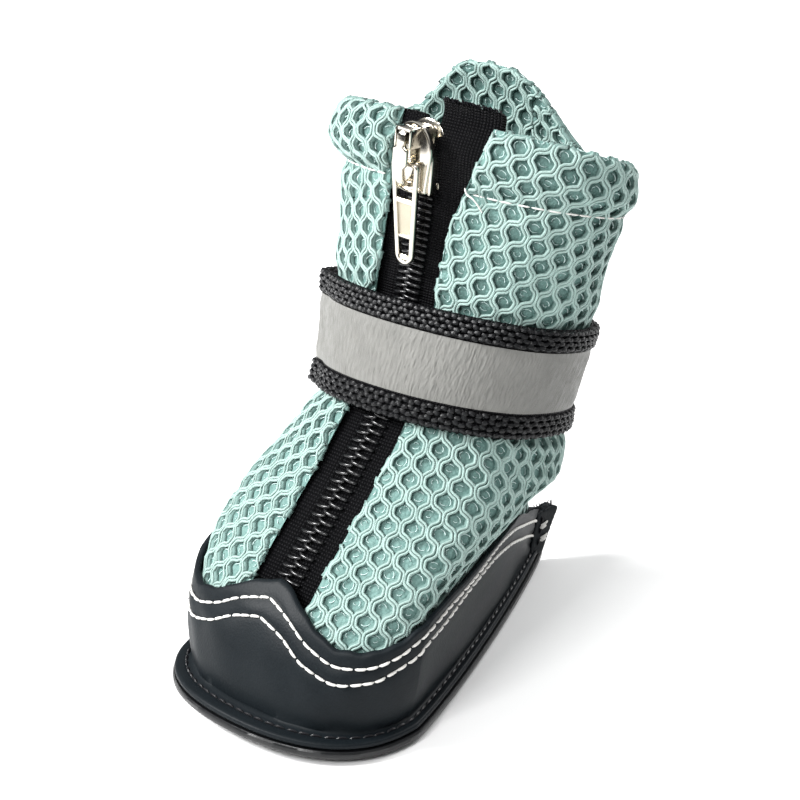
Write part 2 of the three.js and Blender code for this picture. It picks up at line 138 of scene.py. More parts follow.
def relief_group(relief: Relief) -> bpy.types.NodeTree:
    """The shared node group of one pattern, made at its first use.

    Its input is Vector, in metres, and its outputs are Height and a tone, both about 0 to 1; the tone is
    darker where the height is low, painted shade in the pattern's hollows, mixed with broad random tone.
    Args:
        relief: the pattern.
    Returns:
        The group's node tree.
    """
    tree = bpy.data.node_groups.get(relief.value)
    if tree:
        return tree
    tree = bpy.data.node_groups.new(relief.value, "ShaderNodeTree")
    tree.interface.new_socket("Vector", in_out="INPUT", socket_type="NodeSocketVector")
    tree.interface.new_socket("Height", in_out="OUTPUT", socket_type="NodeSocketFloat")
    tree.interface.new_socket("Tone and shade", in_out="OUTPUT", socket_type="NodeSocketFloat")
    g = Graph(tree)
    start = tree.nodes.new("NodeGroupInput").outputs[0]
    end = tree.nodes.new("NodeGroupOutput")
    broad = g.noise(start, 160.0, 2.0)
    if relief is Relief.WEAVE:
        parts = g.node("ShaderNodeSeparateXYZ", Vector=start)
        across = g.math("SINE", g.math("MULTIPLY", parts.outputs[0], math.pi / (WARP_PITCH * MM)))
        along = g.math("SINE", g.math("MULTIPLY", parts.outputs[1], math.pi / (WEFT_PITCH * MM)))
        crossing = g.math("ABSOLUTE", g.math("MULTIPLY", across, along))
        height = g.math("POWER", crossing, 0.6)
    elif relief is Relief.KNIT:
        cells = g.node("ShaderNodeTexVoronoi", Vector=start, Scale=1500.0).outputs["Distance"]
        height = g.math("SUBTRACT", 1.0, cells)
    elif relief is Relief.CRINKLE:
        fine = g.noise(g.stretched(start, (1.0, 0.22, 1.0)), 1500.0, 5.0)
        height = g.math("ADD", g.math("MULTIPLY", fine, 0.75), g.math("MULTIPLY", broad, 0.25))
    elif relief is Relief.FIBRE:
        height = g.noise(g.stretched(start, (1.0, 0.1, 1.0)), 5200.0, 2.0)
    elif relief is Relief.BLAST:
        height = g.noise(start, 9000.0, 2.0)
    else:
        cells = g.node("ShaderNodeTexVoronoi", Vector=start, Scale=2600.0).outputs["Distance"]
        fine = g.noise(start, 900.0)
        height = g.math("ADD", g.math("MULTIPLY", cells, 0.6), g.math("MULTIPLY", fine, 0.4))
    # painted shade: the tone follows the height, so the grooves of a weave or knit and the troughs of a
    # crinkle come out darker; the broad noise adds random tone
    tone_and_shade = g.math("ADD", g.math("MULTIPLY", height, 0.55), g.math("MULTIPLY", broad, 0.45))
    g.put(end.inputs["Height"], height)
    g.put(end.inputs["Tone and shade"], tone_and_shade)
    return tree


@dataclass(frozen=True)
class Finish:
    """One material: two tones blended by a relief's tone, which is partly random and partly painted shade,
    darker in the relief's hollows, with its gloss and bump.

    `depth` is the relief's height in millimetres, and `on_uv` makes the pattern follow the
    piece's own map, which is in metres along the cloth.
    """

    name: str
    low: tuple[float, float, float]
    high: tuple[float, float, float]
    roughness: float
    relief: Relief
    depth: float
    spread: float = 0.12
    metallic: float = 0.0
    sheen: float = 0.0
    specular: float = 0.5
    on_uv: bool = False

    def material(self) -> bpy.types.Material:
        """Makes the material once and returns it on later calls."""
        made = bpy.data.materials.get(self.name)
        if made:
            return made
        made = bpy.data.materials.new(self.name)
        made.use_nodes = True
        g = Graph(made.node_tree)
        shader = made.node_tree.nodes["Principled BSDF"]
        if self.on_uv:
            place = g.node("ShaderNodeUVMap").outputs[0]
        else:
            place = g.node("ShaderNodeTexCoord").outputs["Object"]
        pattern = made.node_tree.nodes.new("ShaderNodeGroup")
        pattern.node_tree = relief_group(self.relief)
        g.put(pattern.inputs["Vector"], place)
        tone_and_shade = pattern.outputs["Tone and shade"]
        # base colour from the relief's tone: painted shade in the relief's hollows, plus random tone
        g.put(shader.inputs["Base Color"], g.mix(tone_and_shade, (*self.low, 1.0), (*self.high, 1.0)))
        rough = g.math("MULTIPLY_ADD", tone_and_shade, self.spread, self.roughness - self.spread / 2)
        g.put(shader.inputs["Roughness"], rough)
        shader.inputs["Metallic"].default_value = self.metallic
        shader.inputs["Sheen Weight"].default_value = self.sheen
        shader.inputs["Specular IOR Level"].default_value = self.specular
        bump = g.node("ShaderNodeBump", Strength=1.0, Distance=self.depth * MM,
                      Height=pattern.outputs["Height"])
        g.put(shader.inputs["Normal"], bump.outputs[0])
        return made


NET = Finish("Net yarn", (0.19, 0.30, 0.275), (0.38, 0.50, 0.465), 0.5, Relief.FIBRE, 0.14,
             sheen=0.1, specular=0.3)
# the net's walls are its own yarn, coloured darker than the net: painted shade inside the holes
SHADED_NET_WALL = Finish("Spacer wall painted shade", (0.10, 0.18, 0.165), (0.23, 0.335, 0.31), 0.65, Relief.FIBRE, 0.10,
                  specular=0.2)
BACKING = Finish("Knit backing", (0.08, 0.165, 0.152), (0.19, 0.31, 0.285), 0.7, Relief.KNIT, 0.2,
                 specular=0.25)
SPACER = Finish("Spacer filament", (0.45, 0.62, 0.6), (0.75, 0.88, 0.86), 0.18, Relief.FIBRE, 0.02)
RAND = Finish("Rand sheet", (0.0035, 0.005, 0.0065), (0.0085, 0.012, 0.0145), 0.46, Relief.GRAIN, 0.03,
              specular=0.11)
RUBBER = Finish("Sole rubber", (0.0035, 0.004, 0.0045), (0.008, 0.0085, 0.0095), 0.3, Relief.GRAIN, 0.02,
                specular=0.35)
FELT = Finish("Insole felt", (0.03, 0.033, 0.036), (0.07, 0.075, 0.08), 0.95, Relief.KNIT, 0.15, sheen=0.3)
WHITE_THREAD = Finish("White thread", (0.50, 0.49, 0.46), (0.82, 0.81, 0.78), 0.5, Relief.FIBRE, 0.05)
BLACK_THREAD = Finish("Black thread", (0.002, 0.002, 0.003), (0.016, 0.016, 0.019), 0.32, Relief.FIBRE, 0.05,
                      specular=0.22)
TAPE = Finish("Zip tape", (0.0005, 0.0005, 0.0007), (0.0065, 0.0065, 0.0075), 0.4, Relief.WEAVE, 0.3,
              specular=0.07, on_uv=True)
NYLON = Finish("Zip coil", (0.003, 0.003, 0.0035), (0.008, 0.008, 0.009), 0.22, Relief.GRAIN, 0.004)
NICKEL = Finish("Nickel plate", (0.50, 0.47, 0.41), (0.68, 0.645, 0.57), 0.14, Relief.GRAIN, 0.003,
                spread=0.1, metallic=1.0)
BLASTED = Finish("Blasted nickel", (0.36, 0.325, 0.25), (0.60, 0.55, 0.445), 0.5, Relief.BLAST, 0.03,
                 metallic=1.0)
WEBBING = Finish("Webbing", (0.0006, 0.0006, 0.0009), (0.006, 0.006, 0.007), 0.36, Relief.WEAVE, 0.22,
                 specular=0.1, on_uv=True)
CORD = Finish("Border loops", (0.0006, 0.0006, 0.0009), (0.0085, 0.009, 0.0105), 0.34, Relief.FIBRE, 0.08,
              specular=0.3)
STRIPE = Finish("Reflective stripe", (0.10, 0.10, 0.094), (0.215, 0.214, 0.2), 0.42, Relief.CRINKLE, 0.5,
                specular=0.35, on_uv=True)
FLOOR = Finish("Floor", (0.86, 0.86, 0.86), (0.88, 0.88, 0.88), 0.6, Relief.GRAIN, 0.0, specular=0.1)


# ---- meshes ---------------------------------------------------------------------------------
def added(name: str, data: bpy.types.ID) -> bpy.types.Object:
    """A new object of the scene, at the origin.

    Args:
        name: its name.
        data: the mesh, light or camera that it shows.
    Returns:
        The object.
    """
    made = bpy.data.objects.new(name, data)
    bpy.context.scene.collection.objects.link(made)
    return made


@dataclass
class Shape:
    """Points (N, 3) in millimetres, faces as arrays of equal-sided polygons, and (u, v) per point."""

    points: Array
    faces: list[Array]
    uv: Array | None = None

    @staticmethod
    def joined(shapes: "list[Shape]") -> "Shape":
        """All the shapes as one, each still its own closed body.

        Args:
            shapes: the bodies.
        Returns:
            One shape with their points and faces in turn.
        """
        starts = np.cumsum([0] + [len(s.points) for s in shapes])
        faces = [f + start for s, start in zip(shapes, starts) for f in s.faces]
        uvs = [np.zeros((len(s.points), 2)) if s.uv is None else s.uv for s in shapes]
        return Shape(np.concatenate([s.points for s in shapes]), faces, np.concatenate(uvs))

    def outward(self) -> "Shape":
        """Turns every face over if the signed volume, a sum of a.(b x c)/6, is negative.

        Returns:
            The same shape.
        """
        volume = 0.0
        for f in self.faces:
            a = self.points[f[:, 0]]
            for k in range(1, f.shape[1] - 1):
                b, c = self.points[f[:, k]], self.points[f[:, k + 1]]
                volume += float(np.einsum("ij,ij->", a, np.cross(b, c)))
        if volume < 0:
            self.faces = [f[:, ::-1] for f in self.faces]
        return self

    def dress(self, name: str, finish: Finish, body: str = "boot", nodes: tuple[str, ...] = (),
              slot: str = "", sharp: float = 50.0) -> bpy.types.Object:
        """Makes the Blender object, gives it its finish and puts it on its CAD body.

        Args:
            name: the piece's name.
            finish: its material.
            body: the CAD body that it rides on.
            nodes: the CAD nodes that it stands for.
            slot: not used.
            sharp: edges over this many degrees stay crisp.
        Returns:
            The new object.
        """
        mesh = bpy.data.meshes.new(name)
        kept = [f for f in self.faces if len(f)]
        corners = np.concatenate([f.ravel() for f in kept])
        used, corners = np.unique(corners, return_inverse=True)
        counts = np.concatenate([np.full(len(f), f.shape[1]) for f in kept])
        mesh.vertices.add(len(used))
        mesh.vertices.foreach_set("co", (self.points[used] * MM).astype(np.float32).ravel())
        mesh.loops.add(len(corners))
        mesh.loops.foreach_set("vertex_index", corners.astype(np.int32).ravel())
        mesh.polygons.add(len(counts))
        starts = np.concatenate([[0], np.cumsum(counts)[:-1]])
        mesh.polygons.foreach_set("loop_start", starts.astype(np.int32))
        mesh.polygons.foreach_set("use_smooth", np.ones(len(counts), bool))
        mesh.update(calc_edges=True)
        if self.uv is not None:
            layer = mesh.uv_layers.new(name="Cloth")
            layer.data.foreach_set("uv", (self.uv[used][corners.ravel()] * MM).astype(np.float32).ravel())
        mesh.set_sharp_from_angle(angle=math.radians(sharp))
        mesh.validate()
        mesh.materials.append(finish.material())
        made = added(name, mesh)
        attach(made, body)
        if nodes:
            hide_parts(*nodes)
        LOG.info("%s: %d triangles", name, (counts - 2).sum())
        return made


def grid_faces(rows: int, columns: int, wrap_rows: bool = False, wrap_columns: bool = False) -> Array:
    """Quads of a grid whose point (i, j) is number i * columns + j.

    Args:
        rows: how many rows of points.
        columns: how many points in a row.
        wrap_rows: joins the last row to the first.
        wrap_columns: joins each row's last point to its first.
    Returns:
        Point numbers (F, 4).
    """
    i = np.arange(rows if wrap_rows else rows - 1)[:, None]
    j = np.arange(columns if wrap_columns else columns - 1)[None, :]
    below, right = (i + 1) % rows, (j + 1) % columns
    quads = [i * columns + j, i * columns + right, below * columns + right, below * columns + j]
    return np.stack(np.broadcast_arrays(*quads), -1).reshape(-1, 4)


def stack(loops: Array, uv: Array | None = None) -> Shape:
    """Closed body from a stack of loops: quads between neighbours and a polygon at each end.

    Args:
        loops: points (R, K, 3), K of them round each of R loops.
        uv: places (R, K, 2) on the cloth.
    Returns:
        The body, its faces outward.
    """
    rows, count = loops.shape[:2]
    ends = np.stack([np.arange(count)[::-1], (rows - 1) * count + np.arange(count)])
    shape = Shape(loops.reshape(-1, 3), [grid_faces(rows, count, wrap_columns=True), ends],
                  None if uv is None else uv.reshape(-1, 2))
    return shape.outward()


def unit(vectors: Array) -> Array:
    """The vectors scaled to length 1."""
    return vectors / np.maximum(np.linalg.norm(vectors, axis=-1, keepdims=True), 1e-9)


def distances(path: Array) -> Array:
    """Length along a path (N, D) at each of its points."""
    return np.concatenate([[0], np.cumsum(np.linalg.norm(np.diff(path, axis=0), axis=1))])


def sampled(values: Array, run: Array, at: Array) -> Array:
    """Rows of `values` (N, D), known at the lengths `run`, read off at the lengths `at`."""
    return np.stack([np.interp(at, run, column) for column in values.T], -1)


def facing(direction: tuple[float, float, float], path: Array) -> Array:
    """The same direction for every point of a path."""
    return np.broadcast_to(direction, path.shape)


def turns(count: int) -> Array:
    """Evenly spaced angles of one full turn."""
    return np.linspace(0, 2 * np.pi, count, endpoint=False)


def squarish(turn: Array, power: float) -> tuple[Array, Array]:
    """cos and sin of a turn, each to a power with its sign kept, which draws a circle out to a square."""
    c, s = np.cos(turn), np.sin(turn)
    return np.sign(c) * np.abs(c) ** power, np.sign(s) * np.abs(s) ** power


def tilt(angle: float) -> Array:
    """Matrix of a turn about the x axis."""
    c, s = math.cos(angle), math.sin(angle)
    return np.array([[1, 0, 0], [0, c, -s], [0, s, c]])


def tubes(paths: Array, normals: Array, radius: float, sides: int = 6, flat: float = 1.0,
          valid: Array | None = None, taper: bool = False) -> Shape:
    """Round or flattened tubes along many paths at once.

    A ring point is path + radius (cos t * side + flat sin t * normal), where side = along x normal.
    Args:
        paths: points (S, K, 3), K of them on each of S paths.
        normals: directions (S, K, 3) that `flat` scales.
        radius: half width of the tube.
        sides: points round it.
        flat: thickness over width.
        valid: (S, K), where a path is kept; each kept run is closed at its ends.
        taper: draws both ends in to half size.
    Returns:
        The tubes as one shape, with u along the path and v round it.
    """
    count, steps = paths.shape[:2]
    valid = np.ones((count, steps), bool) if valid is None else valid
    along = unit(np.gradient(paths, axis=1))
    side = unit(np.cross(along, normals))
    upright = unit(np.cross(side, along))
    turn = np.arange(sides) * 2 * np.pi / sides + np.pi / sides
    size = np.full(steps, radius)
    if taper:
        size[[0, -1]] *= 0.5
    ring = side[:, :, None] * np.cos(turn)[:, None]
    ring = ring + upright[:, :, None] * (flat * np.sin(turn))[:, None]
    points = paths[:, :, None] + ring * size[None, :, None, None]
    length = np.cumsum(np.linalg.norm(np.diff(paths, axis=1, prepend=paths[:, :1]), axis=-1), axis=1)
    uv = np.stack(np.broadcast_arrays((turn * radius)[None, None, :], length[:, :, None]), -1)
    number = np.arange(points.size // 3).reshape(count, steps, sides)
    after = np.roll(number, -1, axis=2)
    quads = np.stack([number[:, :-1], number[:, 1:], after[:, 1:], after[:, :-1]], -1)
    joined = valid[:, :-1] & valid[:, 1:]
    none = np.zeros((count, 1), bool)
    starts = np.concatenate([joined, none], 1) & ~np.concatenate([none, joined], 1)
    ends = np.concatenate([none, joined], 1) & ~np.concatenate([joined, none], 1)
    faces = [quads[joined].reshape(-1, 4), number[starts].reshape(-1, sides),
             number[ends][:, ::-1].reshape(-1, sides)]
    return Shape(points.reshape(-1, 3), faces, uv.reshape(-1, 2)).outward()


STITCH_STEPS = 6  # points along one stitch


def stitches(path: Array, normals: Array, pitch: float, length: float, radius: float,
             rise: float = 0.22) -> Shape:
    """Separate stitches along a path, each a short thread that dips into the cloth at both ends.

    Args:
        path: points (N, 3) on the cloth.
        normals: the cloth's directions there.
        pitch: from one stitch to the next.
        length: of each stitch.
        radius: of the thread.
        rise: height of the stitch's middle over its ends.
    Returns:
        All the stitches as one shape.
    """
    run = distances(path)
    count = max(1, int(run[-1] / pitch))
    wobble = np.sin(np.arange(count) * 2.4) * 0.06 * pitch
    at = (np.arange(count) * run[-1] / count + wobble)[:, None] + np.linspace(0, length, STITCH_STEPS)
    at = np.clip(at, 0, run[-1])
    centre = sampled(path, run, at)
    out = unit(sampled(normals, run, at))
    lift = rise * (np.sin(np.linspace(0, np.pi, STITCH_STEPS)) ** 0.6) - rise * 0.55
    return tubes(centre + out * lift[None, :, None], out, radius, sides=6, taper=True)


# ---- the boot's form ------------------------------------------------------------------------
def clamp01(value: Array) -> Array:
    """Limits to 0..1."""
    return np.clip(value, 0.0, 1.0)


def smooth(value: Array) -> Array:
    """v^2 (3 - 2 v) of v limited to 0..1."""
    value = clamp01(value)
    return value * value * (3 - 2 * value)


class Curve:
    """Smooth curve through rows of a table, without overshoot between them."""

    def __init__(self, xs: tuple[float, ...], ys: tuple[float, ...]) -> None:
        """Cubic spans whose tangents are the harmonic mean of the slopes beside each row.

        Args:
            xs: rising places of the rows.
            ys: values there.
        """
        self.xs, self.ys = np.array(xs, float), np.array(ys, float)
        slope = np.diff(self.ys) / np.diff(self.xs)
        before, after = slope[:-1], slope[1:]
        total = np.where(before + after == 0, 1.0, before + after)
        inner = np.where(before * after <= 0, 0.0, 2 * before * after / total)
        self.tangents = np.concatenate([slope[:1], inner, slope[-1:]])

    def __call__(self, at: Array) -> Array:
        """The curve's value at each place; the end spans carry on past the ends.

        Args:
            at: places.
        Returns:
            Values, one for each place.
        """
        at = np.asarray(at, float)
        i = np.clip(np.searchsorted(self.xs, at, side="right") - 1, 0, len(self.xs) - 2)
        span = self.xs[i + 1] - self.xs[i]
        s = (at - self.xs[i]) / span
        s2, s3 = s * s, s * s * s
        return ((2 * s3 - 3 * s2 + 1) * self.ys[i] + (s3 - 2 * s2 + s) * span * self.tangents[i]
                + (3 * s2 - 2 * s3) * self.ys[i + 1] + (s3 - s2) * span * self.tangents[i + 1])


COLUMNS = ("height", "front", "back", "half", "widest", "toe", "heel", "tip", "tilt")
SECTIONS = (
    (2.6, -36.3, 35.8, 20.8, -20, 2.3, 1.14, 1.08, 0),
    (7, -36.2, 37, 22.3, -20, 2.3, 1.14, 1.08, 0),
    (13, -34.9, 38.8, 23.4, -20, 2.3, 1.15, 1.1, 0),
    (20, -31.2, 40, 24, -19, 2.3, 1.17, 1.14, 0),
    (26, -26, 40.6, 24.5, -16, 2.3, 1.22, 1.22, -0.04),
    (32, -20, 40.3, 25, -9, 2.3, 1.4, 1.45, -0.1),
    (39, -13, 39.2, 24.4, 1, 2.2, 1.8, 1.85, -0.19),
    (51, -3.5, 37, 21.0, 11, 2.1, 2.1, 2.1, -0.33),
    (70, 2, 38, 24.8, 17, 2.1, 2.1, 2.1, -0.33),
    (89, 4.5, 38, 28.2, 20, 2.1, 2.1, 2.1, -0.32),
    (95, 4.5, 38.4, 30.2, 21, 2.1, 2.1, 2.1, -0.4),
    (101, 7, 38.2, 30.2, 22, 2.1, 2.1, 2.1, -0.47),
)
SOLE_EDGE = {"front": -41.6, "back": 42.2, "half": 25.1, "widest": -20.5, "toe": 2.25, "heel": 1.14,
             "tip": 1.07}
RAND_TOP = (  # degrees from the toe, height of the rand's top edge
    (0, 25.4), (10, 23.8), (24, 20.8), (42, 19.0), (60, 19.6), (85, 22.2), (108, 24.6), (126, 25.4),
    (139, 22.6), (150, 18.4), (162, 14.4), (171, 12.4), (180, 11.6))
Ring = dict[str, Array]


@dataclass(frozen=True)
class Last:
    """The boot's form: a point for each angle round it (0 is the toe) and height along it."""

    collar: float = 101.0
    upper_low: float = 2.6
    tongue_height: float = 13.4
    tongue_angle: float = 0.5
    tongue_shift: float = 0.34
    tongue_start: float = 74.0
    side_lean: float = 2.2
    lean_start: float = 55.0
    side_slope: float = 0.06
    slope_start: float = 20.0
    slope_end: float = 51.0
    toe_spring: float = 1.2
    spring_start: float = -27.0
    spring_fade: float = 30.0
    zip_half: float = 7.1
    zip_flare: float = 6.0
    flare_start: float = 78.0
    columns: dict[str, Curve] = field(default_factory=lambda: {
        name: Curve(tuple(r[0] for r in SECTIONS), tuple(r[i] for r in SECTIONS))
        for i, name in enumerate(COLUMNS) if i})

    def grow(self, ring: Ring, out: Array) -> Ring:
        """The ring moved out; a pointed heel moves back further than the sides move out.

        Args:
            ring: the section's columns at each point.
            out: millimetres to move it by.
        Returns:
            The larger ring.
        """
        taper = np.arctan2(ring["half"], ring["back"] - ring["widest"])
        point = clamp01((2 - ring["tip"]) / 0.9)
        side = 1 + point * (1 / np.cos(taper) - 1)
        heel = 1 + point * (1 / np.sin(taper) - 1)
        return {**ring, "front": ring["front"] - out, "half": ring["half"] + out * side,
                "back": ring["back"] + out * heel}

    def ring(self, height: Array, out: Array) -> Ring:
        """The section's columns at each height, moved out by `out`."""
        return self.grow({name: curve(height) for name, curve in self.columns.items()}, out)

    def plan(self, ring: Ring, angle: Array) -> tuple[Array, Array]:
        """Superellipse: x = half |sin|^(2/across), y = widest + reach |cos|^(2/along), signs kept.

        Args:
            ring: the section's columns.
            angle: radians round it.
        Returns:
            x and y.
        """
        s, c = np.sin(angle), np.cos(angle)
        ahead = c >= 0
        across = np.where(ahead, ring["toe"], ring["tip"])
        along = np.where(ahead, ring["toe"], ring["heel"])
        reach = np.where(ahead, ring["front"] - ring["widest"], ring["back"] - ring["widest"])
        x = ring["half"] * np.sign(s) * np.abs(s) ** (2 / across)
        return x, ring["widest"] + reach * np.abs(c) ** (2 / along)

    def spring(self, y: Array) -> Array:
        """Lift of the toe: toe_spring times the squared share of the way to the tip."""
        start = self.spring_start
        return self.toe_spring * clamp01((start - y) / (start - SOLE_EDGE["front"])) ** 2

    def lean(self, height: Array) -> Array:
        """How far the shaft leans towards +X."""
        return self.side_lean * clamp01((height - self.lean_start) / (self.collar - self.lean_start))

    def flare(self, height: Array) -> Array:
        """Extra width of the zip's opening on the +X side."""
        return self.zip_flare * smooth((height - self.flare_start) / (self.collar - self.flare_start))

    def surface(self, angle: Array, height: Array, out: Array = 0.0) -> Array:
        """Points on the form: each section's superellipse, leant, tilted and sprung at the toe.

        Args:
            angle: radians round the form.
            height: of the section at its front.
            out: millimetres out from the form.
        Returns:
            Points (..., 3).
        """
        angle, height, out = np.broadcast_arrays(angle, height, out)
        ring = self.ring(height, out)
        x, y = self.plan(ring, angle)
        x = x + self.lean(height)
        turned = np.mod(angle, 2 * np.pi) - np.pi - self.tongue_shift
        tab = self.tongue_height * np.exp(-np.abs(turned / self.tongue_angle) ** 3)
        z = height + ring["tilt"] * (y - self.columns["front"](height))
        slope_share = clamp01((height - self.slope_start) / (self.slope_end - self.slope_start))
        z = z + self.side_slope * slope_share * x
        z = z + tab * smooth((height - self.tongue_start) / (self.collar - self.tongue_start))
        z = z + self.spring(y) * clamp01(1 - (height - self.upper_low) / self.spring_fade)
        return np.stack([x, y, z], -1)

    def normal(self, angle: Array, height: Array, out: Array = 0.0) -> Array:
        """Outward directions: the cross product of the two steps along the surface.

        Args:
            angle: radians round the form.
            height: of the section.
            out: millimetres out from the form.
        Returns:
            Unit directions (..., 3).
        """
        round_step = self.surface(angle + 1e-3, height, out) - self.surface(angle - 1e-3, height, out)
        up_step = self.surface(angle, height + 0.05, out) - self.surface(angle, height - 0.05, out)
        return unit(np.cross(round_step, up_step))

    def angle_at(self, x: Array, height: Array, out: Array = 0.0) -> Array:
        """Angle at which a ring passes x on its toe side.

        Args:
            x: millimetres from the leaning centre line.
            height: of the section.
            out: millimetres out from the form.
        Returns:
            Radians, with the sign of x.
        """
        ring = self.ring(height, out)
        share = np.minimum(1.0, (np.abs(x) / ring["half"]) ** (ring["toe"] / 2))
        return np.sign(x) * np.arcsin(share)

    def front_at(self, x: Array, height: Array, out: Array) -> Array:
        """Points on the form's toe side at x from the leaning centre line."""
        return self.surface(self.angle_at(x, height, out), height, out)

    def sole_edge(self, angle: Array, out: float, z: Array) -> Array:
        """Outline of the flange and outsole, moved out by `out`, at height z plus the toe spring."""
        x, y = self.plan(self.grow(SOLE_EDGE, out), angle)
        return np.stack(np.broadcast_arrays(x, y, z + self.spring(y)), -1)


LAST = Last()
RAND_CURVE = Curve(tuple(r[0] for r in RAND_TOP), tuple(r[1] for r in RAND_TOP))


def rand_top(angle: Array) -> Array:
    """Height of the rand's top edge at each angle."""
    turned = np.mod(angle, 2 * np.pi)
    return RAND_CURVE(np.degrees(np.minimum(turned, 2 * np.pi - turned)))


# ---- upper ----------------------------------------------------------------------------------
MM_PER_DEGREE = 0.46  # round the shaft, at its mean half width


@dataclass(frozen=True)
class Crease:
    """One soft trough in the mesh: where it is, how it runs, and how long, wide and deep it is."""

    angle: float
    height: float
    slope: float
    length: float
    width: float
    depth: float

    def at(self, angle: Array, height: Array) -> Array:
        """-depth exp(-(across/width)^2) exp(-(along/length)^4), with a low ridge above the trough.

        Args:
            angle: radians round the boot.
            height: up it.
        Returns:
            How far the crease moves the face out.
        """
        x, y = (np.degrees(angle) - self.angle) * MM_PER_DEGREE, height - self.height
        along = x * math.cos(self.slope) + y * math.sin(self.slope)
        across = y * math.cos(self.slope) - x * math.sin(self.slope)
        trough = np.exp(-((across / self.width) ** 2)) - 0.45 * np.exp(-((across / self.width - 1.9) ** 2))
        return -self.depth * trough * np.exp(-((along / self.length) ** 4))


CREASES = (
    Crease(34, 87.0, -0.42, 9, 1.3, 0.7),
    Crease(62, 92.0, -0.25, 8, 1.6, 0.5),
    Crease(-34, 84.5, 0.5, 7, 1.4, 0.5),
    Crease(95, 44.0, -0.2, 13, 2.2, 0.8),
    Crease(118, 36.0, -0.35, 10, 2.0, 0.6),
    Crease(-98, 43.0, 0.2, 13, 2.2, 0.8),
    Crease(150, 78.0, 0.3, 10, 2.4, 0.6),
    Crease(-140, 80.0, -0.4, 12, 2.4, 0.7),
    Crease(75, 76.0, 0.15, 11, 2.0, 0.45),
)


